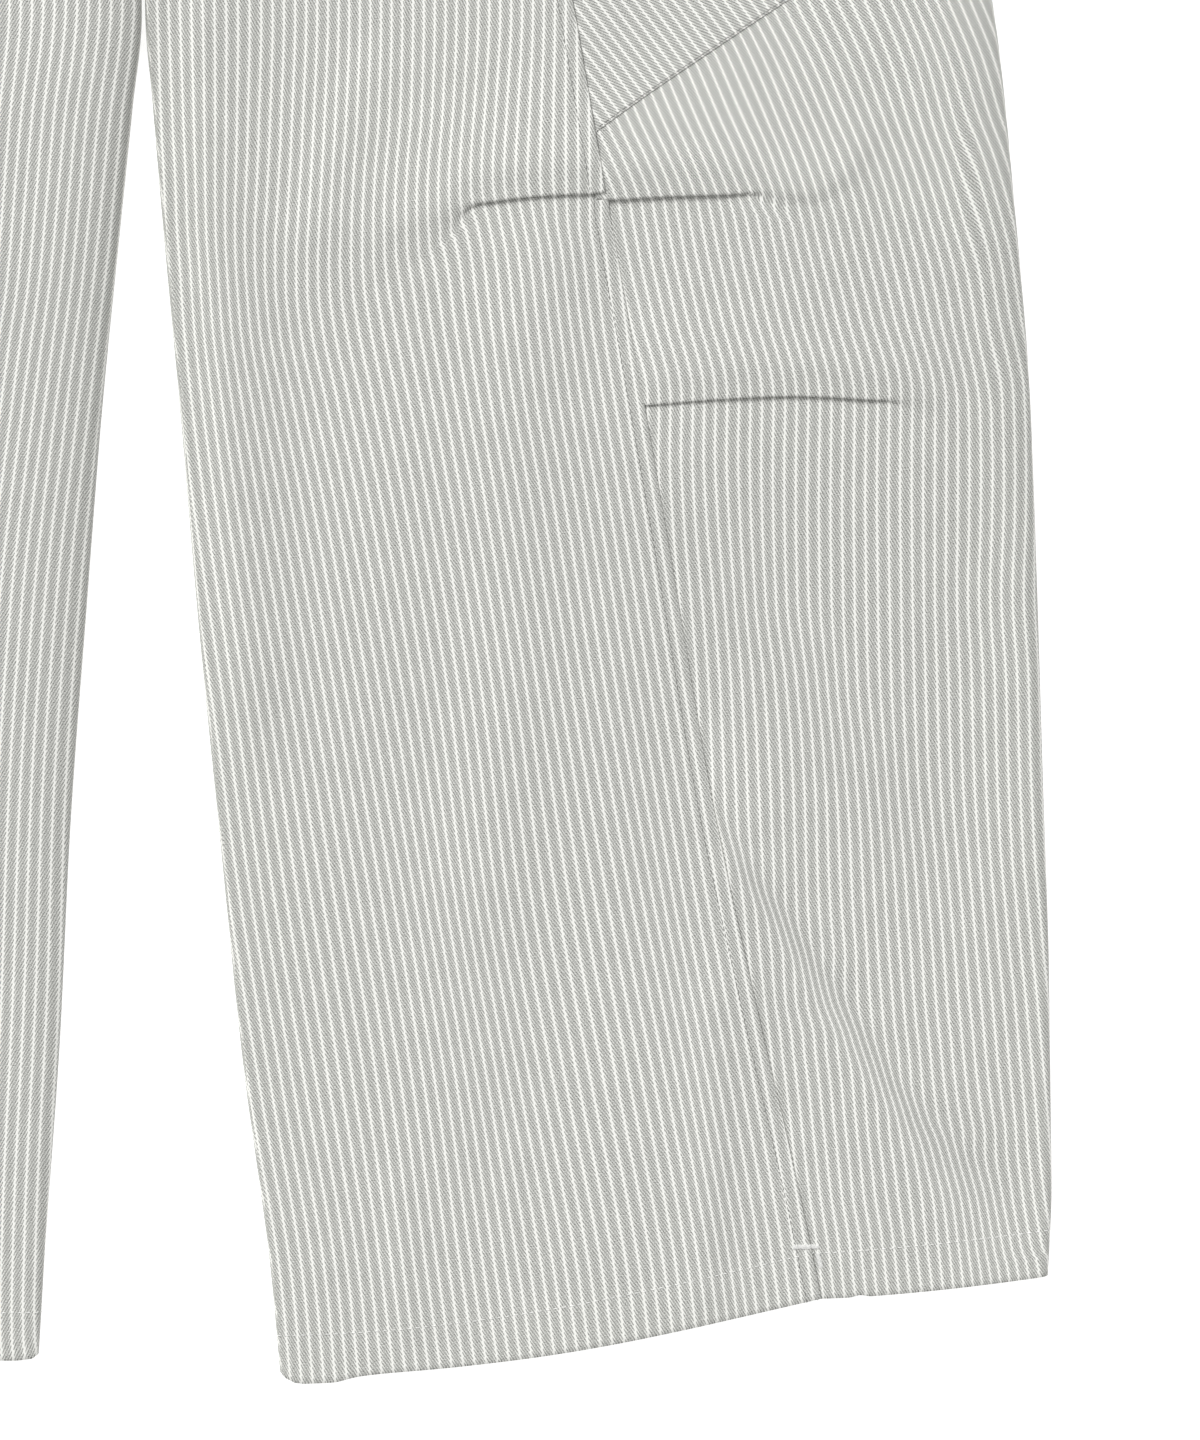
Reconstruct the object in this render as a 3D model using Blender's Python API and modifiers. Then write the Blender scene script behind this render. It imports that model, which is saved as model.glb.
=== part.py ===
"""Cargo trousers with a forward side seam, knee darts and slanted patch pockets.

The trousers lie on their back with the front up. The waist points to +Y and the wearer's left leg
is at +X. Inside this script lengths are millimetres: "across" runs from the centre line to the
outer fold, "drop" runs down from the waist edge and "rise" is the height above the surface.
"""
import math

import bmesh
import bpy
import numpy as np

MM = 0.001
LENGTH = 946.5              # waist edge to the lowest point of the left hem
WALL = 1.2                  # cloth thickness
GAP = 0.3                   # clearance between neighbouring pieces
INSEAM_TRIM = 0.35          # taken off each panel at the inseam, where both walls bend sharply
BAND_DEPTH = 40.0           # waistband, from its upper to its lower edge
BAND_WALL = 2.0             # waistband, two layers of cloth
BAND_PROUD = 0.8            # how far the waistband stands above the panels
FRONT_DIP = 10.0            # how far the front waist edge falls below the back one
HEM_DROP = 914.5            # drop of the side seam at the hem
DART_DROPS = (454.0, 541.0)     # drops of the upper and lower knee darts at the side seam
DART_RISES = (4.5, 3.5)         # how far the cloth above each dart stands over the cloth below
DART_REACH = 38.0           # how far up the leg the swell above a dart runs
DART_LIP = 1.4              # half the width of the step at a dart
# The front dart runs level from the side seam, then bends down and fades: across, and how far down.
DART_BEND = ((20.0, 0.0), (77.0, 28.0), (95.0, 27.0), (118.0, 20.0), (139.0, 4.0), (160.0, 0.0))
DART_BEND_REACH = 40.0      # rows further than this from the dart hardly bend
DART_FADE = (84.0, 144.0)   # the front dart's step grows from nothing to full between these
SIDE_LAG = -2.0             # rows at the thigh lie lower at the outer fold than at the side seam
SIDE_RISE = 8.0             # the hem lies higher at the outer fold than at the side seam
SIDE_TURN = 488.0           # below these drops the rows turn towards the hem's line
INSEAM_TURN = 548.0
CROTCH = (303.0, 352.0)     # drops between which the front edge dives to the inseam
INSEAM_SHIFT = 24.0         # length over which the inseam then moves to its place on the roll
POCKET_CORNER = 427.0       # drop of the pocket's lower corner, at the side seam
POCKET_HEIGHT = 175.0       # pocket, along the side seam
POCKET_SLOPE = math.tan(math.radians(33.5))
BUTTON_RADIUS = 8.5
BUTTON_HEIGHT = 3.0
BUTTON_INSET = 15.0         # waist button, from the centre line

# Shared section: side seam and outer fold seen from above, and the heights of the upper layer.
SECTION_COLUMNS = ("drop", "seam", "fold", "crown", "fold_height", "fold_reach")
SECTIONS = (
    (0.0, 118.0, 196.0, 9.0, 8.5, 5.0),
    (40.0, 124.0, 212.0, 9.5, 9.0, 5.5),
    (120.0, 136.0, 250.0, 11.5, 11.0, 9.0),
    (200.0, 149.0, 290.0, 14.0, 14.5, 14.0),
    (300.0, 166.0, 333.0, 17.5, 19.0, 19.0),
    (372.0, 179.0, 354.0, 19.0, 21.0, 22.0),
    (454.0, 192.0, 362.0, 20.0, 20.0, 21.0),
    (542.0, 207.0, 368.0, 19.0, 15.0, 15.0),
    (623.0, 220.0, 370.0, 15.0, 10.5, 9.0),
    (706.0, 233.0, 371.5, 11.5, 8.0, 5.0),
    (790.0, 250.0, 373.0, 9.5, 6.5, 3.5),
    (873.0, 268.0, 373.0, 8.5, 6.0, 3.0),
    (914.5, 276.0, 371.0, 8.0, 6.0, 3.0),
)
# Inner edge of each leg. The left one is folded sharply, the right one rolls over softly.
INNER_COLUMNS = ("drop", "edge", "height", "reach")
INNER_LEFT = (
    (0.0, 0.4, 9.0, 12.0),
    (200.0, 0.4, 14.0, 12.0),
    (303.0, 0.4, 16.5, 12.0),
    (345.0, 0.45, 13.5, 6.0),
    (376.0, 0.6, 11.0, 3.6),
    (414.0, 3.2, 10.0, 3.4),
    (454.0, 6.0, 10.0, 3.4),
    (542.0, 13.0, 9.5, 3.4),
    (623.0, 19.4, 8.5, 3.2),
    (706.0, 27.2, 7.5, 3.0),
    (790.0, 35.3, 6.5, 2.8),
    (873.0, 46.1, 6.0, 2.8),
    (914.5, 49.5, 6.0, 2.8),
)
INNER_RIGHT = (
    (0.0, 0.4, 9.0, 12.0),
    (200.0, 0.4, 14.0, 12.0),
    (303.0, 0.4, 16.5, 12.0),
    (345.0, 0.45, 17.0, 13.0),
    (376.0, 0.6, 17.5, 15.0),
    (414.0, 4.2, 18.0, 16.0),
    (454.0, 8.3, 18.0, 16.0),
    (542.0, 18.2, 17.0, 15.0),
    (623.0, 26.1, 14.0, 14.0),
    (706.0, 33.5, 11.0, 12.0),
    (790.0, 39.4, 9.0, 9.0),
    (873.0, 47.3, 7.0, 5.0),
    (914.5, 50.8, 6.0, 3.0),
)
# Soft folds of the upper layer: points (across, drop) of the crest, its height, and its widths
# towards the centre line and towards the outer fold.
FOLDS = (
    {"name": "inner thigh", "path": ((51, 371), (46, 454), (42, 560), (46, 637)),
     "height": 3.0, "inner": 22.0, "outer": 30.0},
    {"name": "below the front dart", "path": ((179, 468), (149, 539), (150, 640), (136, 740)),
     "height": 2.5, "inner": 30.0, "outer": 30.0},
    {"name": "below the lower dart", "path": ((226, 565), (254, 623), (299, 691), (313, 725)),
     "height": 3.0, "inner": 22.0, "outer": 26.0},
    {"name": "hem crease", "path": ((230, 700), (246, 736), (269, 773), (310, 836), (347, 874)),
     "height": 5.0, "inner": 9.0, "outer": 26.0},
)
CREASE = FOLDS[-1]
FADE = 45.0                 # length over which a fold fades in and out at its ends

ROWS = (40.3, 85, 130, 175, 215, 255, 285, 303, 318, 334, 352, 376, 400, 424, 441, 449, 452.6, 455.4,
        463, 480, 505, 526, 536, 539.6, 542.4, 550, 570, 605, 645, 690, 735, 780, 825, 868, 898, 914.5)
FRONT_COLUMNS = (0, 0.0025, 0.011, 0.03, 0.055, 0.09, 0.14, 0.22, 0.32, 0.44, 0.56, 0.68, 0.8, 0.91, 1)
UNDER_COLUMNS = (0, 0.2, 0.42, 0.64, 0.82, 0.92, 0.955, 0.975, 0.99, 0.998, 1)
ROLL_STEPS = 6              # facets round the outer fold
ROLL_SHOWN = 4              # facets of the outer fold that the pocket covers
POCKET_ROWS = 8

GREY_TWILL = (0.60, 0.60, 0.57)
POCKET_TWILL = (0.62, 0.62, 0.59)
BAND_TWILL = (0.58, 0.58, 0.55)
IVORY = (0.78, 0.77, 0.72)

LEGS = {
    "left": {"side": 1, "inner": INNER_LEFT, "inseam_angle": 55.0, "hem_slant": 32.0},
    "right": {"side": -1, "inner": INNER_RIGHT, "inseam_angle": 0.0, "hem_slant": 21.0},
}


def read(columns, rows, name, at):
    """Read one column at a drop, on a smooth curve that doesn't overshoot its rows."""
    drops = [row[0] for row in rows]
    values = [row[columns.index(name)] for row in rows]
    at = min(max(at, drops[0]), drops[-1])
    low = max(i for i in range(len(drops) - 1) if drops[i] <= at)
    rates = [(values[i + 1] - values[i]) / (drops[i + 1] - drops[i]) for i in range(len(drops) - 1)]

    def slope(i):
        if i in (0, len(drops) - 1):
            return rates[min(i, len(rates) - 1)]
        before, after = rates[i - 1], rates[i]
        return 2 * before * after / (before + after) if before * after > 0 else 0.0

    step = drops[low + 1] - drops[low]
    t = (at - drops[low]) / step
    return (values[low] * (2 * t ** 3 - 3 * t ** 2 + 1) + values[low + 1] * (3 * t ** 2 - 2 * t ** 3)
            + slope(low) * step * (t ** 3 - 2 * t ** 2 + t) + slope(low + 1) * step * (t ** 3 - t ** 2))


def ease(t):
    """Ease from 0 to 1 with flat ends."""
    t = np.clip(t, 0.0, 1.0)
    return t * t * (3 - 2 * t)


def row_drop(leg, row, across, layer):
    """Drop of a row at one place across the leg: level at the thigh, slanted towards the hem.

    The underside lies just below the upper layer, so its hem is hidden by the front's. Only the
    waist edge differs: it dips at the centre front.
    """
    seam = read(SECTION_COLUMNS, SECTIONS, "seam", row)
    fold = read(SECTION_COLUMNS, SECTIONS, "fold", row)
    edge = read(INNER_COLUMNS, leg["inner"], "edge", row)
    if across < seam:
        t = min((seam - across) / (seam - edge), 1.0)
        slant = leg["hem_slant"] * max(row - INSEAM_TURN, 0.0) / (HEM_DROP - INSEAM_TURN)
        drop = row + slant * math.sin(t * math.pi / 2)
        if layer == "upper":
            drop += FRONT_DIP * (1 - min(max(row, 0.0) / CROTCH[0], 1.0)) * t * t
            drop += dart_bend(across) * math.exp(-((row - DART_DROPS[0]) / DART_BEND_REACH) ** 2)
        return drop
    t = min((across - seam) / (fold - seam), 1.0)
    return row - side_slant(row) * t ** 1.6


def dart_bend(across):
    """How far the front dart's line lies below its level stretch."""
    at, values = zip(*DART_BEND)
    return float(np.interp(across, at, values))


def side_slant(row):
    """How much higher a row lies at the outer fold than at the side seam."""
    below = max(row - SIDE_TURN, 0.0) / (HEM_DROP - SIDE_TURN)
    return SIDE_LAG * min(row / CROTCH[1], 1.0) + (SIDE_RISE - SIDE_LAG) * below


def fold_rise(across, drop):
    """Height that the soft folds add to the upper layer."""
    rise = 0.0
    for fold in FOLDS:
        xs = [p[0] for p in fold["path"]]
        ds = [p[1] for p in fold["path"]]
        crest = float(np.interp(drop, ds, xs))
        ends = ease((drop - ds[0] + FADE) / FADE) * ease((ds[-1] + FADE - drop) / FADE)
        width = fold["inner"] if across < crest else fold["outer"]
        distance = abs(across - crest) / width
        if distance < 1:
            rise += fold["height"] * float(ends) * (1 - float(ease(distance)))
    return rise


def dart_rise(row, across, seam, fold, part):
    """Height of the swell that stands over the cloth below each knee dart."""
    upper, lower = DART_DROPS
    if part == "front":
        spans = ((upper, DART_RISES[0], ease((across - DART_FADE[0]) / (DART_FADE[1] - DART_FADE[0]))),)
    else:
        near_seam = ease((across - seam) / 10.0)
        spans = ((upper, DART_RISES[0], 1 - ease((across - 248) / 26.0)),
                 (lower, DART_RISES[1], near_seam * (1 - ease((across - 296) / 38.0))))
    rise = 0.0
    for line, height, share in spans:
        above = line + DART_LIP - row
        if above > 0:
            swell = ease(min(above / (2 * DART_LIP), 1.0)) * math.exp(-(above / DART_REACH) ** 2)
            rise += height * float(share) * float(swell)
    return rise


def outline(leg, row):
    """Front and back outlines of one row: arrays of (across, rise) on the cloth's outer side."""
    value = {name: read(SECTION_COLUMNS, SECTIONS, name, row) for name in SECTION_COLUMNS}
    inner = {name: read(INNER_COLUMNS, leg["inner"], name, row) for name in INNER_COLUMNS}
    seam, fold, roll = value["seam"], value["fold"], value["fold_reach"]
    start, end = inner["edge"] + inner["reach"], fold - roll
    middle = (start + end) / 2
    dive = float(ease((row - CROTCH[0]) / (CROTCH[1] - CROTCH[0])))
    shift = float(ease((row - CROTCH[1]) / INSEAM_SHIFT))
    inseam = math.radians(leg["inseam_angle"] * shift)

    def top(across, part):
        if across < middle:
            t, low = ease((across - start) / (middle - start)), inner["height"]
        else:
            t, low = ease((end - across) / (end - middle)), value["fold_height"]
        base = low + (value["crown"] - low) * t
        drop = row_drop(leg, row, across, "upper")
        away = ease((across - inner["edge"]) / 20.0) * ease((end - across) / 25.0)
        return base + float(away) * (fold_rise(across, drop) + dart_rise(row, across, seam, fold, part))

    def inner_roll(angle, base):
        """A quarter of an oval: it is flat above the crotch and reaches the inseam below it."""
        half = dive * inner["height"] / 2
        return (start - inner["reach"] * math.cos(angle), abs(base - half) + half * math.sin(angle))

    front = [inner_roll(a, inner["height"]) for a in np.linspace(inseam, math.pi / 2, 24)]
    front += [(x, top(x, "front")) for x in np.linspace(start, seam, 90)[1:]]
    upper = [(x, top(x, "back")) for x in np.linspace(seam, end, 90)]
    half = value["fold_height"] / 2
    roll_points = [(end + roll * math.cos(a), half + half * math.sin(a))
                   for a in np.linspace(math.pi / 2, -math.pi / 2, 8 * ROLL_STEPS + 1)]
    under = [(x, 0.0) for x in np.linspace(end, start, 60)]
    under += [inner_roll(a, 0.0) for a in np.linspace(-math.pi / 2, inseam, 24)[1:]]
    return tuple(np.array(points) for points in (front, upper, roll_points, under))


def along(points, fractions, trim_start=0.0, trim_end=0.0):
    """Points at fractions of a polyline's length, after a little is trimmed off its ends."""
    steps = np.hypot(*np.diff(points, axis=0).T)
    length = np.concatenate(([0.0], np.cumsum(steps)))
    at = trim_start + np.array(fractions) * (length[-1] - trim_start - trim_end)
    return np.column_stack([np.interp(at, length, points[:, k]) for k in (0, 1)])


def place(leg, row, points, layer):
    """Turn (across, rise) points of a row into X, Y, Z millimetres."""
    return [(leg["side"] * x, LENGTH / 2 - row_drop(leg, row, x, layer), z) for x, z in points]


def front_points(leg):
    """Grid of the front panel: a line of points for each row."""
    grid = []
    for row in ROWS:
        front = outline(leg, row)[0]
        grid.append(place(leg, row, along(front, FRONT_COLUMNS, INSEAM_TRIM, GAP / 2), "upper"))
    return grid


def side_columns(row, upper):
    """Fractions of the side's upper stretch, with a close pair of columns at the crease."""
    xs = [p[0] for p in CREASE["path"]]
    ds = [p[1] for p in CREASE["path"]]
    low, high = upper[0, 0], upper[-1, 0]
    crest = (float(np.interp(row, ds, xs)) - low) / (high - low)
    crest = min(max(crest, 0.2), 0.74)
    foot = CREASE["inner"] / (high - low)
    tail = CREASE["outer"] / (high - low)
    far = crest + tail
    return (0, 0.5 * (crest - foot), crest - foot, crest - foot / 2, crest, crest + tail / 2, far,
            far + 0.5 * (1 - far), 1)


def back_points(leg):
    """Grid of the back panel, from the side seam round the outer fold to the inseam."""
    grid = []
    for row in ROWS:
        _, upper, roll, under = outline(leg, row)
        first = along(upper, side_columns(row, upper), GAP / 2, 0.0)
        turn = roll[::len(roll) // ROLL_STEPS][1:]
        last = along(under, UNDER_COLUMNS[1:], 0.0, INSEAM_TRIM)
        line = place(leg, row, first, "upper") + place(leg, row, turn, "upper")
        grid.append(line + place(leg, row, last, "under"))
    return grid


def pocket_points(leg, back):
    """Grid of the patch pocket, on the back panel's own columns, before it is moved out."""
    columns = np.array(back)[:, :9 + ROLL_SHOWN]
    rows = np.array(ROWS)

    def at(column, row):
        return np.array([np.interp(row, rows, columns[:, column, k]) for k in range(3)])

    grid = []
    for step in range(POCKET_ROWS):
        corner = POCKET_CORNER - POCKET_HEIGHT * step / (POCKET_ROWS - 1)
        line = []
        for column in range(columns.shape[1]):
            row = corner
            for _ in range(12):
                across = abs(at(column, row)[0]) - abs(at(0, row)[0])
                row = 0.5 * row + 0.5 * (corner - POCKET_SLOPE * across)
            line.append(at(column, row))
        grid.append(line)
    return grid[::-1]


def material(name, colour, roughness):
    """Make a plain finish."""
    made = bpy.data.materials.new(name)
    made.use_nodes = True
    shader = made.node_tree.nodes["Principled BSDF"]
    shader.inputs["Base Color"].default_value = (*colour, 1.0)
    shader.inputs["Roughness"].default_value = roughness
    shader.inputs["Metallic"].default_value = 0.0
    return made


def cloth(name, grid, side, wall, finish, collection, lift=0.0):
    """Make a cloth piece from a grid of outer points; lift moves it out along its own normals.

    Rows run down the garment and columns run from the centre line outwards, so on the left leg
    the faces of the grid already point out.
    """
    points = np.array(grid, dtype=float)
    rows, columns = points.shape[:2]
    mesh = bpy.data.meshes.new(name)
    work = bmesh.new()
    bmesh.ops.create_grid(work, x_segments=columns - 1, y_segments=rows - 1, size=1.0)
    for vertex in work.verts:
        column = round((vertex.co.x + 1) / 2 * (columns - 1))
        row = round((1 - vertex.co.y) / 2 * (rows - 1))
        vertex.co = points[row, column] * MM
    if side < 0:
        bmesh.ops.reverse_faces(work, faces=work.faces)
    work.normal_update()
    for vertex in work.verts:
        vertex.co += vertex.normal * lift * MM
    work.to_mesh(mesh)
    work.free()
    piece = bpy.data.objects.new(name, mesh)
    collection.objects.link(piece)
    mesh.materials.append(finish)
    mesh.shade_smooth()
    thickness = piece.modifiers.new("Cloth thickness", "SOLIDIFY")
    thickness.thickness = wall * MM
    thickness.offset = -1.0
    thickness.use_quality_normals = True
    return piece


def band_outline(points):
    """Move a panel's outline out to the waistband's outer side, with its underside on the floor."""
    moved = points.copy()
    moved[:, 1] += BAND_PROUD * np.clip(moved[:, 1] / 3.0, 0.0, 1.0)
    return moved


def waistband_front(leg, finish, collection, name):
    """Front half of the waistband, from the centre line to the side seam."""
    grid = []
    for row in (0.0, BAND_DEPTH / 2, BAND_DEPTH):
        front = band_outline(outline(leg, row)[0])
        grid.append(place(leg, row, along(front, np.linspace(0, 1, 8), 0.0, GAP / 2), "upper"))
    return cloth(name, grid, leg["side"], BAND_WALL, finish, collection)


def waistband_back(finish, collection):
    """Back of the waistband: one strip from side seam to side seam, round both folds."""
    grid = []
    for row in (0.0, BAND_DEPTH / 2, BAND_DEPTH):
        halves = []
        for leg in (LEGS["left"], LEGS["right"]):
            _, upper, roll, under = outline(leg, row)
            shell = band_outline(np.vstack([upper, roll[1:]]))
            first = along(shell[:len(upper)], (0, 0.35, 0.7, 1), GAP / 2, 0.0)
            turn = shell[len(upper) - 1:][::len(roll) // ROLL_STEPS][1:]
            last = along(under, (0.35, 0.7), 0.0, 0.0)
            halves.append(place(leg, row, first, "upper") + place(leg, row, turn, "upper")
                          + place(leg, row, last, "under"))
        grid.append(halves[0] + halves[1][::-1])
    return cloth("waistband_back", grid, 1, BAND_WALL, finish, collection)


def waist_button(finish, collection):
    """Round button with a raised rim, on the lapped end of the waistband."""
    front = outline(LEGS["left"], BAND_DEPTH / 2)[0]
    seat = float(np.interp(BUTTON_INSET, front[:, 0], front[:, 1])) + BAND_PROUD
    profile = ((0, 0), (6.8, 0), (8.0, 0.8), (BUTTON_RADIUS, 1.6), (8.3, 2.5), (7.4, BUTTON_HEIGHT),
               (6.2, 2.8), (5.6, 2.2), (0, 2.0))
    mesh = bpy.data.meshes.new("waist_button")
    work = bmesh.new()
    corners = [work.verts.new((r * MM, 0.0, h * MM)) for r, h in profile[::-1]]
    for first, second in zip(corners, corners[1:]):
        work.edges.new((first, second))
    work.to_mesh(mesh)
    work.free()
    button = bpy.data.objects.new("waist_button", mesh)
    collection.objects.link(button)
    mesh.materials.append(finish)
    drop = BAND_DEPTH / 2 + FRONT_DIP * 0.7
    button.location = (BUTTON_INSET * MM, (LENGTH / 2 - drop) * MM, (seat + 2 * GAP) * MM)
    turned = button.modifiers.new("Turned profile", "SCREW")
    turned.steps = 20
    turned.render_steps = 20
    turned.use_merge_vertices = True
    turned.merge_threshold = 0.00005
    turned.use_normal_calculate = True
    return button


def main():
    """Build every piece of the trousers."""
    for old in list(bpy.data.objects):
        bpy.data.objects.remove(old, do_unlink=True)
    collection = bpy.data.collections.new("cargo_trousers")
    bpy.context.scene.collection.children.link(collection)
    panel_finish = material("striped twill", GREY_TWILL, 0.9)
    pocket_finish = material("pocket twill", POCKET_TWILL, 0.9)
    band_finish = material("waistband twill", BAND_TWILL, 0.9)
    for name, leg in LEGS.items():
        back = back_points(leg)
        cloth(f"{name}_front_panel", front_points(leg), leg["side"], WALL, panel_finish, collection)
        cloth(f"{name}_back_panel", back, leg["side"], WALL, panel_finish, collection)
        cloth(f"{name}_cargo_pocket", pocket_points(leg, back), leg["side"], WALL, pocket_finish,
              collection, lift=WALL + GAP)
        waistband_front(leg, band_finish, collection, f"{name}_waistband")
    waistband_back(band_finish, collection)
    waist_button(material("button resin", IVORY, 0.4), collection)


main()
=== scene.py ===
"""Looks of the cargo trousers: striped cotton twill, laid flat on their back with the front up.

Lengths inside the classes are millimetres. "across" runs from the centre line to a leg's outer
fold, "drop" runs down from the waist edge and "rise" is the height above the surface. Left and
right are the wearer's, and the wearer's left leg is at +X. Finished meshes are in metres.
"""

import logging
import math
from dataclasses import dataclass, field
from enum import Enum

import bmesh
import bpy
import numpy as np
from mathutils import Matrix


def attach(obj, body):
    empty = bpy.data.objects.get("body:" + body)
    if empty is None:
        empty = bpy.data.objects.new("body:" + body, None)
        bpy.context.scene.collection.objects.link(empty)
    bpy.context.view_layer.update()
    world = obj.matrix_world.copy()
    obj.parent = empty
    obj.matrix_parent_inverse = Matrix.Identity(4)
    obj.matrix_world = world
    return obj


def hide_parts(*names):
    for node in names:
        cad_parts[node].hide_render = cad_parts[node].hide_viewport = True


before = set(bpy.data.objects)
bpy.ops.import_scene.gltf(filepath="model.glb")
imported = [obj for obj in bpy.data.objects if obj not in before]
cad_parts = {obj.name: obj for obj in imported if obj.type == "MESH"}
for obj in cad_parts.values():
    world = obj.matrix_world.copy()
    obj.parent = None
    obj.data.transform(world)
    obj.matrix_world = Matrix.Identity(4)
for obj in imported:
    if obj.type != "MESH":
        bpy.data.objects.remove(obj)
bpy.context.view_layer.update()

LOG = logging.getLogger("cargo_trousers")
MM = 0.001
LENGTH = 946.5              # waist edge to the lowest point of the left hem
BAND_DEPTH = 40.0
PANEL_TOP = 40.3            # the panels start just below the waistband
HEM_DROP = 914.5            # drop of the side seam at the hem
HEM_DEPTH = 20.0            # cloth turned up inside the hem
FRONT_DIP = 10.0            # the front's waist edge dips this far at the centre
SIDE_LAG = -2.0             # the outer fold lies this far above the side seam at the thigh
SIDE_RISE = 8.0             # and this far above it at the hem
SIDE_TURN = 488.0           # drop where the rows begin to slant outside the side seam
INSEAM_TURN = 548.0         # and inside it
CROTCH = (303.0, 352.0)     # drops between which the two legs part
INSEAM_SHIFT = 24.0         # the inseam moves on to the front over this distance
DART_REACH = 38.0           # how far up the leg the swell above a dart runs
LIP_SHARE = 0.62            # height of a dart's folded lip, as a share of the swell behind it
LIP_SLOPE = 14.0            # the swell rises from the lip over this distance
DART_SPAN = 9.0             # the close rows at a dart run this far above and below its line
CLOTH = 0.9                 # thickness of one layer of twill
POCKET_WALL = 0.5           # thickness of a pocket's cloth
THREAD_CLEAR = 0.2          # threads stay this far above the surface
STRIPE_PITCH = 4.7          # distance from stripe to stripe
EDGE_EASE = 25.0            # the relief fades towards the outer fold over this distance
INNER_EASE = 18.0           # and towards the inner roll over this one
DART_PULL = 40.0            # rows this near to a dart follow its line
HEM_PULL = 16.0             # rows this near to the hem follow its edge

Row = tuple[float, ...]


def ease(t: np.ndarray) -> np.ndarray:
    """Ease from 0 to 1 with flat ends.

    Args:
        t: Where to read it; values outside 0 to 1 are clipped.

    Returns:
        The eased values.
    """
    t = np.clip(t, 0.0, 1.0)
    return t * t * (3 - 2 * t)


def at_centre(across: np.ndarray) -> np.ndarray:
    """How far the front's edges lap: 1 at the centre line, 0 from 9 mm on."""
    return ease((9.0 - across) / 8.0)


@dataclass(frozen=True)
class Curve:
    """A smooth curve through a few points, which doesn't overshoot them."""

    at: Row
    values: Row

    def read(self, where: np.ndarray) -> np.ndarray:
        """Read the curve.

        Args:
            where: Places along the curve; outside its points its end values hold.

        Returns:
            The curve's values there.
        """
        at, values = np.array(self.at, float), np.array(self.values, float)
        where = np.clip(where, at[0], at[-1])
        low = np.clip(np.searchsorted(at, where, side="right") - 1, 0, len(at) - 2)
        step = np.diff(at)
        rate = np.diff(values) / step
        before, after = rate[:-1], rate[1:]
        agree = before * after > 0
        inner = np.where(agree, 2 * before * after / np.where(agree, before + after, 1.0), 0.0)
        slope = np.concatenate(([rate[0]], inner, [rate[-1]]))
        t = (where - at[low]) / step[low]
        return (values[low] * (2 * t ** 3 - 3 * t ** 2 + 1)
                + values[low + 1] * (3 * t ** 2 - 2 * t ** 3)
                + slope[low] * step[low] * (t ** 3 - 2 * t ** 2 + t)
                + slope[low + 1] * step[low] * (t ** 3 - t ** 2))


@dataclass(frozen=True)
class Table:
    """Named columns of sizes down the leg; the first column is the drop."""

    columns: tuple[str, ...]
    rows: tuple[Row, ...]

    def read(self, name: str, drop: np.ndarray) -> np.ndarray:
        """Read one column.

        Args:
            name: The column.
            drop: Drops to read it at.

        Returns:
            Its values, on a smooth curve.
        """
        column = self.columns.index(name)
        return Curve(tuple(r[0] for r in self.rows), tuple(r[column] for r in self.rows)).read(drop)


# Side seam and outer fold seen from above, and the heights of the upper layer.
SECTION = Table(("drop", "seam", "fold", "crown", "fold_height", "fold_reach"), (
    (0.0, 118.0, 196.0, 9.0, 8.5, 5.0),
    (40.0, 124.0, 212.0, 9.5, 9.0, 5.5),
    (120.0, 136.0, 250.0, 11.5, 11.0, 9.0),
    (200.0, 149.0, 290.0, 14.0, 14.5, 14.0),
    (300.0, 166.0, 333.0, 17.5, 19.0, 19.0),
    (372.0, 179.0, 354.0, 19.0, 21.0, 22.0),
    (454.0, 192.0, 362.0, 20.0, 20.0, 21.0),
    (542.0, 207.0, 368.0, 19.0, 15.0, 15.0),
    (623.0, 220.0, 370.0, 15.0, 10.5, 9.0),
    (706.0, 233.0, 371.5, 11.5, 8.0, 5.0),
    (790.0, 250.0, 373.0, 9.5, 6.5, 3.5),
    (873.0, 268.0, 373.0, 8.5, 6.0, 3.0),
    (914.5, 276.0, 371.0, 8.0, 6.0, 3.0),
))
INNER_COLUMNS = ("drop", "edge", "height", "reach")
INNER_LEFT = Table(INNER_COLUMNS, (
    (0.0, 0.4, 9.0, 12.0),
    (200.0, 0.4, 14.0, 12.0),
    (303.0, 0.4, 16.5, 12.0),
    (345.0, 0.45, 13.5, 6.0),
    (376.0, 0.6, 11.0, 3.6),
    (414.0, 3.2, 10.0, 3.4),
    (454.0, 6.0, 10.0, 3.4),
    (542.0, 13.0, 9.5, 3.4),
    (623.0, 19.4, 8.5, 3.2),
    (706.0, 27.2, 7.5, 3.0),
    (790.0, 35.3, 6.5, 2.8),
    (873.0, 46.1, 6.0, 2.8),
    (914.5, 49.5, 6.0, 2.8),
))
INNER_RIGHT = Table(INNER_COLUMNS, (
    (0.0, 0.4, 9.0, 12.0),
    (200.0, 0.4, 14.0, 12.0),
    (303.0, 0.4, 16.5, 12.0),
    (345.0, 0.45, 17.5, 21.0),
    (376.0, 0.6, 19.0, 34.0),
    (414.0, 4.8, 20.0, 36.0),
    (454.0, 9.4, 20.0, 36.0),
    (542.0, 19.4, 18.0, 32.0),
    (623.0, 27.2, 15.0, 27.0),
    (706.0, 35.0, 11.5, 21.0),
    (790.0, 40.6, 9.0, 14.0),
    (873.0, 48.0, 7.0, 7.0),
    (914.5, 51.2, 6.0, 3.0),
))

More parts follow.
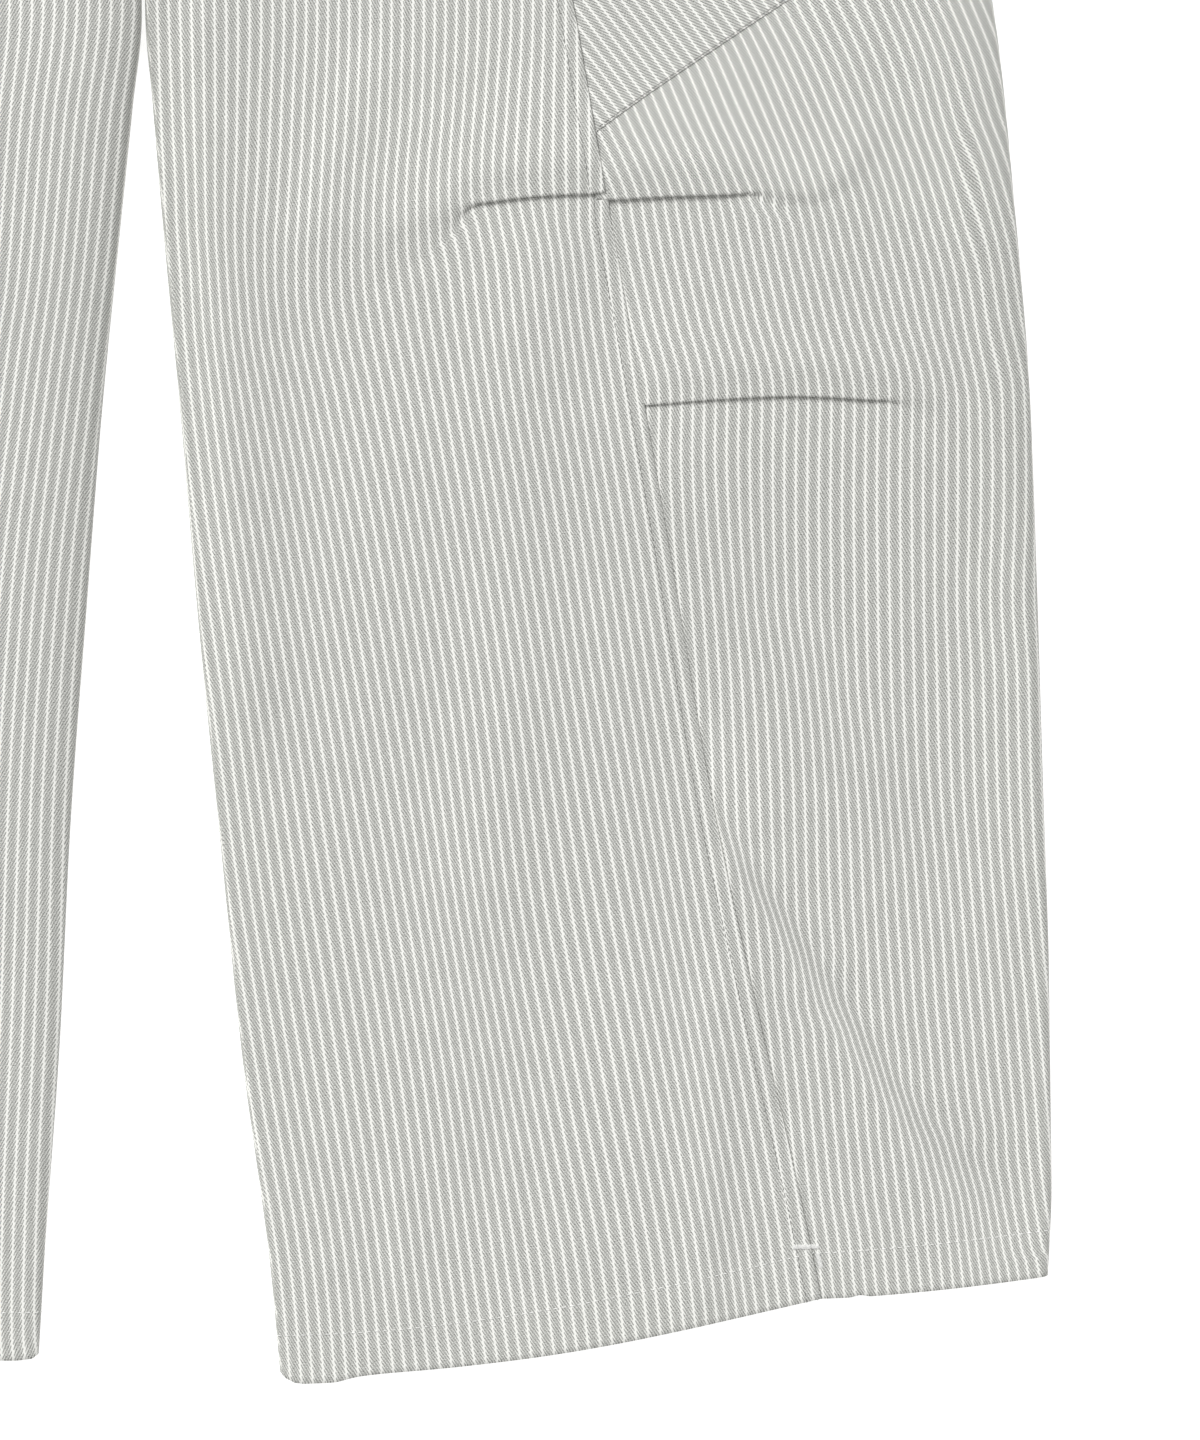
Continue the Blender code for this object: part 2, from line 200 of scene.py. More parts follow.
# Where a few stripes run: across at each drop, for the warp distances in the headings.
FRONT_GRAIN = Table(("drop", "0", "50", "100", "150", "170.8"), (
    (0.0, 9.0, 59.0, 108.0, 158.0, 178.5),
    (200.0, 11.0, 62.0, 110.5, 159.5, 179.5),
    (373.0, 13.0, 64.2, 111.7, 160.0, 180.0),
    (421.0, 14.0, 61.9, 110.3, 157.8, 179.9),
    (448.0, 14.9, 59.9, 108.3, 156.6, 179.9),
    (463.0, 15.2, 58.9, 107.7, 158.9, 179.7),
    (480.0, 16.2, 58.7, 107.9, 162.0, 181.6),
    (505.0, 17.5, 60.0, 111.7, 164.6, 184.2),
    (538.0, 20.5, 65.5, 117.5, 168.4, 188.8),
    (580.0, 25.3, 73.3, 124.5, 174.9, 195.3),
    (663.0, 36.8, 86.8, 136.8, 186.8, 207.6),
    (746.0, 47.4, 99.9, 146.1, 200.3, 220.3),
    (830.0, 60.1, 112.6, 160.1, 215.1, 235.1),
    (905.0, 71.6, 121.6, 173.3, 227.4, 247.0),
    (946.0, 75.0, 127.0, 178.5, 232.0, 252.0),
))
RIGHT_FRONT_GRAIN = Table(("drop", "0", "60", "166"), (
    (0.0, 1.6, 61.0, 167.0),
    (371.0, 1.6, 61.0, 169.0),
    (420.0, 7.2, 66.0, 171.0),
    (478.0, 13.8, 72.0, 177.0),
    (536.0, 21.6, 80.0, 185.0),
    (619.0, 31.9, 92.0, 197.0),
    (703.0, 39.2, 99.0, 206.0),
    (786.0, 43.1, 104.0, 215.0),
    (869.0, 48.4, 109.0, 222.0),
    (946.0, 51.5, 112.0, 226.0),
))
SIDE_GRAIN = Table(("drop", "0", "32.9", "56.4", "79.9", "117.5"), (
    (0.0, 73.1, 107.0, 131.2, 155.4, 194.3),
    (200.0, 118.1, 152.4, 176.9, 201.4, 241.3),
    (300.0, 152.1, 186.0, 210.2, 234.4, 277.3),
    (375.0, 184.1, 216.8, 240.1, 263.4, 308.9),
    (399.0, 194.1, 227.3, 251.1, 274.8, 318.6),
    (424.0, 204.1, 237.5, 261.4, 285.3, 326.2),
    (440.0, 211.1, 244.3, 268.1, 291.8, 332.3),
    (457.0, 217.6, 250.5, 273.9, 297.4, 337.5),
    (482.0, 222.3, 255.7, 279.5, 303.3, 343.8),
    (507.0, 227.4, 260.9, 284.9, 308.8, 347.7),
    (540.0, 234.1, 267.8, 291.9, 316.0, 353.5),
    (565.0, 233.5, 267.2, 291.4, 315.5, 353.9),
    (590.0, 234.4, 266.9, 291.0, 315.2, 353.5),
    (623.0, 236.9, 267.3, 291.0, 315.2, 352.3),
    (657.0, 239.1, 270.9, 291.9, 315.5, 353.9),
    (690.0, 240.2, 273.3, 294.7, 316.4, 354.3),
    (715.0, 240.8, 274.1, 296.6, 318.0, 355.0),
    (732.0, 244.3, 274.2, 297.4, 319.5, 355.7),
    (748.0, 247.6, 274.5, 298.0, 320.6, 357.0),
    (773.0, 249.9, 276.3, 299.2, 322.2, 359.0),
    (790.0, 251.6, 279.7, 300.2, 323.1, 360.6),
    (807.0, 253.4, 285.4, 301.7, 324.6, 361.9),
    (823.0, 255.1, 287.6, 305.3, 325.9, 363.2),
    (840.0, 257.0, 288.9, 310.3, 328.1, 364.5),
    (857.0, 258.7, 290.5, 313.8, 332.2, 365.7),
    (873.0, 260.5, 292.0, 315.9, 336.3, 367.3),
    (890.0, 262.6, 294.6, 317.7, 338.7, 370.0),
    (907.0, 264.8, 296.2, 319.6, 341.0, 373.0),
    (946.0, 269.5, 301.0, 324.0, 345.5, 378.0),
))
# The long crease above the left hem: its line, the cloth tucked into it and how wide it is.
CREASE_TUCK = Table(("drop", "across", "tuck", "width"), (
    (700.0, 228.0, 0.0, 3.0),
    (723.0, 240.5, 3.0, 5.0),
    (740.0, 249.0, 4.7, 6.0),
    (757.0, 261.0, 6.4, 7.0),
    (773.0, 270.5, 7.2, 8.0),
    (807.0, 291.5, 8.0, 9.5),
    (841.0, 315.5, 8.6, 11.0),
    (858.0, 329.0, 9.8, 17.0),
    (874.0, 337.5, 9.3, 19.0),
    (891.0, 344.5, 7.8, 20.0),
    (946.0, 360.0, 5.0, 20.0),
))


@dataclass(frozen=True)
class Fold:
    """A soft ridge, or a trough where its height is below zero, along a given line."""

    path: tuple[tuple[float, float], ...]
    height: float
    inner: float
    outer: float
    fade: float = 45.0

    def rise(self, across: np.ndarray, drop: np.ndarray) -> np.ndarray:
        """Height that the fold adds.

        Args:
            across: Distances from the centre line.
            drop: Drops of the same points.

        Returns:
            The added height at each point.
        """
        nearest = np.full(across.shape, np.inf)
        place = np.zeros(across.shape)
        outside = np.zeros(across.shape, bool)
        run = 0.0
        for (x0, d0), (x1, d1) in zip(self.path, self.path[1:]):
            length = math.hypot(x1 - x0, d1 - d0)
            t = np.clip(((across - x0) * (x1 - x0) + (drop - d0) * (d1 - d0)) / length ** 2, 0, 1)
            gap_x, gap_d = across - x0 - t * (x1 - x0), drop - d0 - t * (d1 - d0)
            gap = np.hypot(gap_x, gap_d)
            nearer = gap < nearest
            nearest = np.where(nearer, gap, nearest)
            place = np.where(nearer, run + t * length, place)
            outside = np.where(nearer, (x1 - x0) * gap_d < (d1 - d0) * gap_x, outside)
            run += length
        width = np.where(outside, self.outer, self.inner)
        ends = ease(place / self.fade) * ease((run - place) / self.fade)
        return self.height * ends * (1 - ease(nearest / width))


@dataclass(frozen=True)
class Dart:
    """A knee dart: the cloth above it folds over the cloth below, and fades into a bulge at its tip."""

    row: float
    line: Curve         # how far below the dart's row its line lies
    rise: Curve         # height of the cloth above the dart
    lap: Curve          # 1 where the cloth folds over, 0 where the step is only a bulge
    lip: Curve          # half the width of the step where it is only a bulge

    def shape(self, row: np.ndarray, across: np.ndarray, place: np.ndarray,
              own: np.ndarray) -> tuple[np.ndarray, np.ndarray]:
        """Move the rows near the dart.

        Args:
            row: Row of each point.
            across: Distance of each point from the centre line.
            place: 0 to 1 along the fold-over, for the rows that belong to a dart.
            own: True for the rows that belong to this dart.

        Returns:
            What is added to the drop and to the height.
        """
        above = self.row - row
        lip = self.lip.read(across)
        higher = np.maximum(above, 0)
        swell = ease((above + lip) / (2 * lip)) * np.exp(-(higher / DART_REACH) ** 2)
        swell = swell * (LIP_SHARE + (1 - LIP_SHARE) * ease(higher / LIP_SLOPE))
        drop = self.line.read(across) * np.exp(-(above / DART_PULL) ** 2)
        lap = np.where(own, self.lap.read(across), 0.0)
        folded_drop = FOLD_OVER_DROP.read(place) - (place * 2 - 1) * DART_SPAN
        height = self.rise.read(across)
        rise = swell + lap * (FOLD_OVER_RISE.read(place) - swell)
        return drop + lap * folded_drop, rise * height


FOLD_OVER_AT = (0.0, 0.18, 0.34, 0.42, 0.47, 0.52, 0.6, 0.68, 0.73, 0.78, 0.85, 0.92, 1.0)
FOLD_OVER_DROP = Curve(
    FOLD_OVER_AT, (-9.0, -5.0, -1.5, 0.2, 0.8, 0.4, -1.4, -3.2, -3.7, -3.0, -1.2, 3.0, 9.0))
FOLD_OVER_RISE = Curve(
    FOLD_OVER_AT, (0.84, 0.72, 0.63, 0.58, 0.4, 0.2, 0.1, 0.08, 0.04, 0.01, 0.0, 0.0, 0.0))
FRONT_DART = Dart(
    454.0,
    line=Curve((20, 77, 95, 118, 139, 164, 192), (0.0, 29.0, 27.0, 17.0, 3.0, 0.0, -1.0)),
    rise=Curve((58, 80, 100, 122, 150, 180, 192), (0.0, 1.1, 2.0, 2.6, 3.3, 3.4, 3.0)),
    lap=Curve((130, 150, 184, 192), (0.0, 1.0, 1.0, 0.7)),
    lip=Curve((60, 90, 120, 142, 192), (20.0, 16.0, 9.0, 2.0, 1.4)),
)
SIDE_DARTS = (
    Dart(
        454.0,
        line=Curve((192, 223, 254, 266, 285), (2.0, 0.5, 0.0, 3.0, 8.0)),
        rise=Curve((190, 200, 236, 256, 280), (2.6, 3.3, 3.3, 1.9, 0.0)),
        lap=Curve((190, 198, 238, 262, 300), (0.6, 1.0, 1.0, 0.0, 0.0)),
        lip=Curve((192, 250, 275), (1.4, 1.6, 8.0)),
    ),
    Dart(
        541.0,
        line=Curve((205, 240, 268, 305, 330, 350), (0.5, -2.0, -3.0, -1.0, 3.5, 7.0)),
        rise=Curve((205, 213, 296, 312, 340), (1.3, 2.4, 2.4, 1.9, 0.0)),
        lap=Curve((205, 212, 298, 318, 330), (0.6, 1.0, 1.0, 0.0, 0.0)),
        lip=Curve((205, 300, 330, 345), (1.4, 1.6, 6.0, 10.0)),
    ),
)

SHARED_FOLDS = (
    Fold(((182, 440), (149, 539), (150, 640), (134, 780)), 1.2, 30.0, 30.0),
    Fold(((212, 530), (254, 623), (299, 691), (318, 740)), 1.8, 24.0, 28.0, 60.0),
    Fold(((224, 672), (250, 730), (276, 766), (318, 832), (350, 880)), 3.4, 12.0, 30.0, 60.0),
)
HIDDEN_FOLDS = (
    Fold(((60, 60), (75, 150), (70, 260), (58, 340)), 1.6, 24.0, 30.0),
    Fold(((100, 70), (120, 170), (128, 250)), -1.2, 18.0, 26.0),
    Fold(((6, 300), (40, 322), (95, 338)), 2.2, 12.0, 18.0, 30.0),
    Fold(((8, 330), (50, 352), (110, 360)), -1.5, 12.0, 16.0, 30.0),
    Fold(((8, 285), (60, 262), (120, 250)), 1.4, 12.0, 18.0, 30.0),
    Fold(((170, 90), (205, 200), (235, 310)), 1.8, 24.0, 30.0),
)
LEFT_FOLDS = (
    Fold(((30, 320), (24, 400), (24, 470), (27, 580), (33, 700)), 4.4, 14.0, 42.0, 60.0),
    Fold(((256, 452), (276, 449), (294, 438), (306, 420)), 1.3, 6.0, 20.0, 16.0),
    Fold(((103, 384), (77, 425), (60, 460)), 1.2, 14.0, 18.0, 20.0),
    Fold(((97, 850), (100, 880), (103, 940)), 1.0, 8.0, 12.0, 18.0),
    Fold(((147, 840), (146, 905)), 0.6, 6.0, 8.0, 14.0),
    Fold(((233, 770), (233, 831), (226, 935)), 1.2, 16.0, 11.0, 25.0),
)
# Slack of the cloth: height, lengths of its waves across and down, and shift.
SLACK = ((0.22, 17.0, 41.0, 0.0), (0.18, 31.0, -23.0, 0.0),
         (0.12, 9.0, 71.0, 1.3), (0.1, 12.0, -14.0, 0.0))
# Columns beside the side seam: the back's under and past it, the front's rounded edge and its sink.
SEAM_LAP = (-4.0, -2.0, -0.6, 0.4, 1.2, 2.2)
SEAM_ROUND = (-0.8, -0.4, -0.12, 0.0)
SEAM_SINK = (0.0, 0.08, 0.25, 0.45)
SEAM_RAISE = Curve((0, 440, 462, 530, 560, 660, 700, 760, 914),
                   (0.3, 0.3, 0.45, 0.45, 0.14, 0.14, 0.3, 0.3, 0.3))
SEAM_DIP = Curve((0, 540, 575, 650, 690, 914), (0.8, 0.8, 0.58, 0.58, 0.8, 0.8))
# The turned-up hem: distance below the hem's row, and depth inside the cloth.
HEM_TURN = ((0.4, 0.3), (0.62, 0.75), (0.6, 1.3), (0.3, 1.8), (-0.8, 2.15), (-4.0, 2.2), (-9.0, 2.2),
            (-14.0, 2.2), (-HEM_DEPTH, 2.2))
# How far the hems' lower edges depart from a straight line.
HEM_LEFT = Curve((49.0, 52.0, 58.0, 71.0, 83.0, 96.0, 121.0, 200.0, 288.0, 292.0, 297.0, 400.0),
                 (-4.0, -1.5, 1.0, 1.0, -1.0, -1.5, -1.2, 0.0, 0.0, -0.8, 0.0, 0.0))
HEM_RIGHT = Curve((49.0, 54.0, 62.0, 90.0, 400.0), (-3.0, 0.0, 0.8, 0.0, 0.0))


class Side(Enum):
    """The wearer's sides; the value is the sign of X."""

    LEFT = 1
    RIGHT = -1

    @property
    def word(self) -> str:
        """The side's name, as the frame's nodes have it."""
        return self.name.lower()


@dataclass(frozen=True)
class RowPlan:
    """Rows of the cloth's grids, with close rows where a dart folds over."""

    rows: np.ndarray
    place: np.ndarray
    dart: np.ndarray

    @staticmethod
    def make(hidden_step: float, shown_step: float, dart_rows: int) -> "RowPlan":
        """Lay the rows out.

        Args:
            hidden_step: Distance of rows above the photographed part.
            shown_step: Distance of rows below it.
            dart_rows: Rows across each dart's fold-over.

        Returns:
            The plan, from the waistband to the hem.
        """
        split = 360.0
        regular = list(np.arange(PANEL_TOP, split, hidden_step))
        regular += list(np.arange(split, HEM_DROP - HEM_DEPTH, shown_step))
        regular += list(np.linspace(HEM_DROP - HEM_DEPTH, HEM_DROP, 11))
        darts = (FRONT_DART.row, SIDE_DARTS[1].row)
        kept = [(r, 0.0, -1) for r in regular if all(abs(r - d) > DART_SPAN for d in darts)]
        for index, row in enumerate(darts):
            for place in np.linspace(0, 1, dart_rows):
                kept.append((row + (place * 2 - 1) * DART_SPAN, float(place), index))
        kept.sort()
        rows, place, dart = (np.array(column) for column in zip(*kept))
        return RowPlan(rows, place, dart)


def summed(steps: np.ndarray) -> np.ndarray:
    """Distance along each row from its first point, from the steps between its points."""
    return np.concatenate([np.zeros((len(steps), 1)), np.cumsum(steps, axis=1)], axis=1)


def line_at(length: np.ndarray, points: np.ndarray, distance: float) -> np.ndarray:
    """The points at a distance along each row, or from its end if the distance is below zero.

    Args:
        length: Distance of each point from the start of its row.
        points: Rows of points (across, drop, rise).
        distance: How far along the rows.

    Returns:
        One point for each row.
    """
    line = []
    for run, row in zip(length, points):
        at = distance if distance >= 0 else run[-1] + distance
        line.append([np.interp(at, run, row[:, k]) for k in range(3)])
    return np.array(line)


@dataclass
class Grid:
    """A grid of points on the outer side of a piece of cloth, with the run of its grain."""

    points: np.ndarray          # rows, columns, (across, drop, rise)
    warp: np.ndarray            # distance across the warp at each point
    along: np.ndarray           # distance along the warp
    side: Side

    @property
    def length(self) -> np.ndarray:
        """Distance along each row from its first point."""
        return summed(np.linalg.norm(np.diff(self.points, axis=1), axis=2))

    @property
    def depth(self) -> np.ndarray:
        """Distance down each column from its first point."""
        return summed(np.linalg.norm(np.diff(self.points, axis=0), axis=2).T).T

    def outward(self) -> np.ndarray:
        """Find the outward directions of the points, each in its own row's upright plane.

        Returns:
            A unit vector (across, drop, rise) for each point.
        """
        along = np.gradient(self.points, axis=1)
        out = np.stack([-along[..., 2], np.zeros(along.shape[:2]), along[..., 0]], axis=-1)
        return out / np.maximum(np.linalg.norm(out, axis=-1, keepdims=True), 1e-9)

    def column_at(self, distance: float, lift: float = 0.0) -> np.ndarray:
        """A line down the piece at a distance from its first column, or its last if below zero.

        Args:
            distance: How far in from the side.
            lift: How far the line stands off the cloth.

        Returns:
            Points (across, drop, rise), one for each row.
        """
        return line_at(self.length, self.points + lift * self.outward(), distance)

    def row_at(self, distance: float, lift: float = 0.0) -> np.ndarray:
        """A line across the piece at a distance from its last row, or its first if above zero.

        Args:
            distance: How far in from the row, below zero when counted up from the last one.
            lift: How far the line stands off the cloth.

        Returns:
            Points (across, drop, rise), one for each column.
        """
        lifted = self.points + lift * self.outward()
        return line_at(self.depth.T, lifted.swapaxes(0, 1), distance)

    def settle(self, line: list[tuple[float, float]], lift: float) -> np.ndarray:
        """Lay a line of (across, drop) places on the cloth.

        Args:
            line: The places.
            lift: How far the line stands above the cloth.

        Returns:
            Points (across, drop, rise).
        """
        flat = self.points.reshape(-1, 3)
        result = []
        for across, drop in line:
            gap = np.hypot(flat[:, 0] - across, flat[:, 1] - drop)
            near = np.argsort(gap)[:4]
            share = 1.0 / (gap[near] + 0.05)
            result.append((across, drop, float(share @ flat[near, 2] / share.sum()) + lift))
        return np.array(result)

    def world(self, points: np.ndarray) -> np.ndarray:
        """Turn (across, drop, rise) millimetres into the frame's metres."""
        x, drop, rise = np.moveaxis(points, -1, 0)
        return np.stack([self.side.value * x, LENGTH / 2 - drop, rise], axis=-1) * MM


@dataclass(frozen=True)
class LegForm:
    """The form of one leg as it lies: where the rows of its cloth run and how high they lie."""

    side: Side
    inner: Table
    inseam_angle: float
    hem_slant: float
    folds: tuple[Fold, ...]
    hem_edge: Curve

    def side_slant(self, row: np.ndarray) -> np.ndarray:
        """How much higher a row lies at the outer fold than at the side seam."""
        below = np.maximum(row - SIDE_TURN, 0.0) / (HEM_DROP - SIDE_TURN)
        return SIDE_LAG * np.minimum(row / CROTCH[1], 1.0) + (SIDE_RISE - SIDE_LAG) * below

    def drop(self, row: np.ndarray, across: np.ndarray, front: bool = False) -> np.ndarray:
        """Drop of a row: level at the thigh, slanted towards the hem.

        Args:
            row: Rows, as a column.
            across: Distances from the centre line.
            front: True for the front panel, whose waist edge dips at the centre.

        Returns:
            The drop of each point.
        """
        seam, fold = SECTION.read("seam", row), SECTION.read("fold", row)
        edge = self.inner.read("edge", row)
        t = np.clip((seam - across) / (seam - edge), 0, 1)
        slant = self.hem_slant * np.maximum(row - INSEAM_TURN, 0.0) / (HEM_DROP - INSEAM_TURN)
        inward = row + slant * np.sin(t * math.pi / 2)
        if front:
            inward = inward + FRONT_DIP * np.clip(1 - np.maximum(row, 0) / CROTCH[0], 0, 1) * t * t
        outward = row - self.side_slant(row) * np.clip((across - seam) / (fold - seam), 0, 1) ** 1.6
        return np.where(across < seam, inward, outward)

    def ends(self, row: np.ndarray) -> tuple[np.ndarray, np.ndarray]:
        """Where the upper layer starts beside the inner roll and ends before the outer fold."""
        return (self.inner.read("edge", row) + self.inner.read("reach", row),
                SECTION.read("fold", row) - SECTION.read("fold_reach", row))

    def crown(self, row: np.ndarray, across: np.ndarray) -> np.ndarray:
        """Height of the smooth upper layer, before its folds.

        Args:
            row: Rows, as a column.
            across: Distances from the centre line.

        Returns:
            The height of each point.
        """
        start, end = self.ends(row)
        middle = (start + end) / 2
        crown = SECTION.read("crown", row)
        inner, outer = self.inner.read("height", row), SECTION.read("fold_height", row)
        rising = inner + (crown - inner) * ease((across - start) / (middle - start))
        falling = outer + (crown - outer) * ease((end - across) / (end - middle))
        return np.where(across < middle, rising, falling)

    def relief(self, row: np.ndarray, across: np.ndarray, drop: np.ndarray) -> np.ndarray:
        """Height that folds and the slack of the cloth add, away from the leg's two edges.

        Args:
            row: Rows, as a column.
            across: Distances from the centre line.
            drop: Drops of the same points.

        Returns:
            The added height at each point.
        """
        start, end = self.ends(row)
        away = ease((across - start) / INNER_EASE) * ease((end - across) / EDGE_EASE)
        folds = sum(fold.rise(across, drop) for fold in self.folds)
        slack = sum(tall * np.sin(across / wide + drop / long + shift) for tall, wide, long, shift in SLACK)
        return away * (folds + slack)

    def inner_roll(self, row: np.ndarray, angle: np.ndarray,
                   under: bool) -> tuple[np.ndarray, np.ndarray]:
        """The quarter of an oval by which a layer turns to the inseam, below the crotch.

        Args:
            row: Rows, as a column.
            angle: Angles round the oval, in radians.
            under: True for the underside.

        Returns:
            Across and rise of the points.
        """
        dive = ease((row - CROTCH[0]) / (CROTCH[1] - CROTCH[0]))
        height, reach = self.inner.read("height", row), self.inner.read("reach", row)
        half = dive * height / 2
        base = 0.0 if under else height
        return self.ends(row)[0] - reach * np.cos(angle), np.abs(base - half) + half * np.sin(angle)

    def inseam(self, row: np.ndarray) -> np.ndarray:
        """Angle round the inner oval at which the inseam lies."""
        return math.radians(self.inseam_angle) * ease((row - CROTCH[1]) / INSEAM_SHIFT)


@dataclass
class LegCloth:
    """Front and back panels of one leg, as grids on the leg's form."""

    form: LegForm
    plan: RowPlan
    front_columns: int = 66
    roll_columns: int = 10
    side_columns: int = 58
    fold_columns: int = 11
    under_columns: int = 30
    fly_lap: float = 0.9            # the left front's edge stands this far over the right one
    fly_length: float = 245.0
    fly_ease: float = 25.0
    front_gap: float = 1.3          # the front's even columns end this far before the side seam
    back_gap: float = 3.4           # and the back's begin this far behind it
    raised: tuple[float, float] = (7.0, 6.0)    # where the front rises to the seam, over what width
    dipped: tuple[float, float] = (2.6, 3.2)    # where the back dips to the seam, over what width

    def front(self) -> Grid:
        """Lay out the front panel.

        Returns:
            Its outer side, from the inseam to the side seam.
        """
        row = self.plan.rows[:, None]
        t = np.linspace(0, 1, self.roll_columns)
        inseam = self.form.inseam(row)
        roll = self.form.inner_roll(row, inseam + (math.pi / 2 - inseam) * t, under=False)
        start, seam = self.form.ends(row)[0], SECTION.read("seam", row)
        inside = start + (seam - self.front_gap - start) * np.linspace(0, 1, self.front_columns)[1:]
        rounded = seam + np.array(SEAM_ROUND)
        across = np.concatenate([inside, rounded], axis=1)
        drop = self.form.drop(row, across, front=True)
        rise = self.form.crown(row, across) + self.form.relief(row, across, drop)
        place, own = self.plan.place[:, None], self.plan.dart[:, None] == 0
        added = FRONT_DART.shape(row, across, place, own)
        rise += added[1] + SEAM_RAISE.read(row) * ease((across - seam + self.raised[0]) / self.raised[1])
        rise[:, -4:] -= np.array(SEAM_SINK)
        drop = drop + added[0]
        lowered = FRONT_DART.shape(row, roll[0], place, own)[0]
        roll_drop = self.form.drop(row, roll[0], front=True) + lowered
        points = self.join([(roll[0], roll_drop, roll[1]), (across, drop, rise)])
        if self.form.side is Side.LEFT:
            lap = at_centre(points[..., 0]) * ease((self.fly_length - row) / self.fly_ease)
            points[..., 2] += self.fly_lap * lap
        grain = FRONT_GRAIN if self.form.side is Side.LEFT else RIGHT_FRONT_GRAIN
        return Grid(points, *self.grain(points, grain), self.form.side)

    def back(self) -> Grid:
        """Lay out the back panel.

        Returns:
            Its outer side, from the side seam round the outer fold to the inseam.
        """
        row = self.plan.rows[:, None]
        seam, (start, end) = SECTION.read("seam", row), self.form.ends(row)
        reach, half = SECTION.read("fold_reach", row), SECTION.read("fold_height", row) / 2
        across = np.concatenate([
            seam + np.array(SEAM_LAP),
            seam + self.back_gap + (end - seam - self.back_gap) * np.linspace(0, 1, self.side_columns)
        ], axis=1)
        drop = self.form.drop(row, across)
        rise = self.form.crown(row, across) + self.form.relief(row, across, drop)
        near_fold = ease((end - across) / EDGE_EASE)
        for index, dart in enumerate(SIDE_DARTS):
            own = self.plan.dart[:, None] == index
            added = dart.shape(row, across, self.plan.place[:, None], own)
            drop, rise = drop + added[0], rise + added[1] * near_fold
        rise -= SEAM_DIP.read(row) * ease((seam + self.dipped[0] - across) / self.dipped[1])
        angle = np.linspace(math.pi / 2, -math.pi / 2, self.fold_columns)[1:]
        turn = end + reach * np.cos(angle), half + half * np.sin(angle)
        below = end + (start - end) * np.linspace(0, 1, self.under_columns)[1:]
        t = np.linspace(0, 1, self.roll_columns)[1:]
        inseam = self.form.inseam(row)
        roll = self.form.inner_roll(row, -math.pi / 2 + (inseam + math.pi / 2) * t, under=True)
        points = self.join([
            (across, drop, rise),
            (turn[0], self.form.drop(row, turn[0]), turn[1]),
            (below, self.form.drop(row, below), np.zeros(below.shape)),
            (roll[0], self.form.drop(row, roll[0]), roll[1])])
        creased = self.form.side is Side.LEFT
        return Grid(points, *self.grain(points, SIDE_GRAIN, creased), self.form.side)

    @staticmethod
    def join(parts: list[tuple[np.ndarray, np.ndarray, np.ndarray]]) -> np.ndarray:
        """Set stretches of columns side by side as one array of points."""
        return np.concatenate([np.stack(np.broadcast_arrays(*part), axis=-1) for part in parts], axis=1)

    @staticmethod
    def grain(points: np.ndarray, grain: Table, crease: bool = False) -> tuple[np.ndarray, np.ndarray]:
        """Distances across and along the warp at each point, from the stripes' run.

        Args:
            points: Grid of (across, drop, rise).
            grain: Where a few stripes run.
            crease: True where the cloth tucked into the long crease is added.

        Returns:
            Millimetres across the warp, which beyond the known stripes grow with the cloth's length,
            and millimetres along it.
        """
        step = np.diff(points, axis=1)
        turns = np.abs(step[..., 2]) > np.abs(step[..., 0])
        steps = np.where(turns, np.hypot(step[..., 0], step[..., 2]), np.abs(step[..., 0]))
        length = summed(steps)
        marks = np.array([float(name) for name in grain.columns[1:]])
        result = np.zeros(points.shape[:2])
        for r, line in enumerate(points):
            top = int(np.argmax(line[:, 0])) + 1
            drops = np.interp(np.linspace(0, 1, len(marks)), np.linspace(0, 1, top), line[:top, 1])
            across = np.array([float(grain.read(name, d)) for name, d in zip(grain.columns[1:], drops)])
            tucks = np.zeros(len(marks))
            here = np.zeros(len(line))
            if crease:
                tucks = crease_tuck(across, drops)
                here = crease_tuck(line[:, 0], line[:, 1])
                here[top:] = here[top - 1]
            at = np.interp(across, line[:top, 0], length[r, :top])
            at += np.minimum(across - line[0, 0], 0.0) + np.maximum(across - line[top - 1, 0], 0.0)
            known = Curve(tuple(at), tuple(marks - tucks))
            inside = known.read(length[r])
            before = np.minimum(length[r] - at[0], 0)
            after = np.maximum(length[r] - at[-1], 0)
            result[r] = inside + before + after + here
        return result, points[..., 1]

    def turned_up(self, grid: Grid) -> Grid:
        """Add the hem: the cloth rounds the edge and runs back up inside.

        Args:
            grid: The panel, down to its hem row.

        Returns:
            The panel with its turned-up rows.
        """
        out = grid.outward()
        rows = self.plan.rows
        shift = self.form.hem_edge.read(grid.points[-1, :, 0])
        near = np.exp(-(HEM_DROP - rows) / HEM_PULL)[:, None]
        points = grid.points.copy()
        points[..., 1] += near * shift
        added, warp, along = [], [], []
        for below, depth in HEM_TURN:
            at = HEM_DROP + min(below, 0.0)
            low = min(int(np.searchsorted(rows, at)), len(rows) - 1)
            line = points[low] - depth * out[low]
            line[:, 1] += at - rows[low] + max(below, 0.0)
            added.append(line)
            warp.append(grid.warp[low])
            along.append(grid.along[low] + at - rows[low])
        return Grid(np.concatenate([points, np.array(added)]), np.vstack([grid.warp, warp]),
                    np.vstack([grid.along, along]), grid.side)


def crease_tuck(across: np.ndarray, drop: np.ndarray) -> np.ndarray:
    """Cloth hidden by the long crease between the side seam and each point.

    Args:
        across: Distances from the centre line.
        drop: Drops of the same points.

    Returns:
        Hidden width of cloth, in millimetres.
    """
    line, tuck, width = (CREASE_TUCK.read(name, drop) for name in ("across", "tuck", "width"))
    return tuck * ease((across - line + width) / (2 * width))


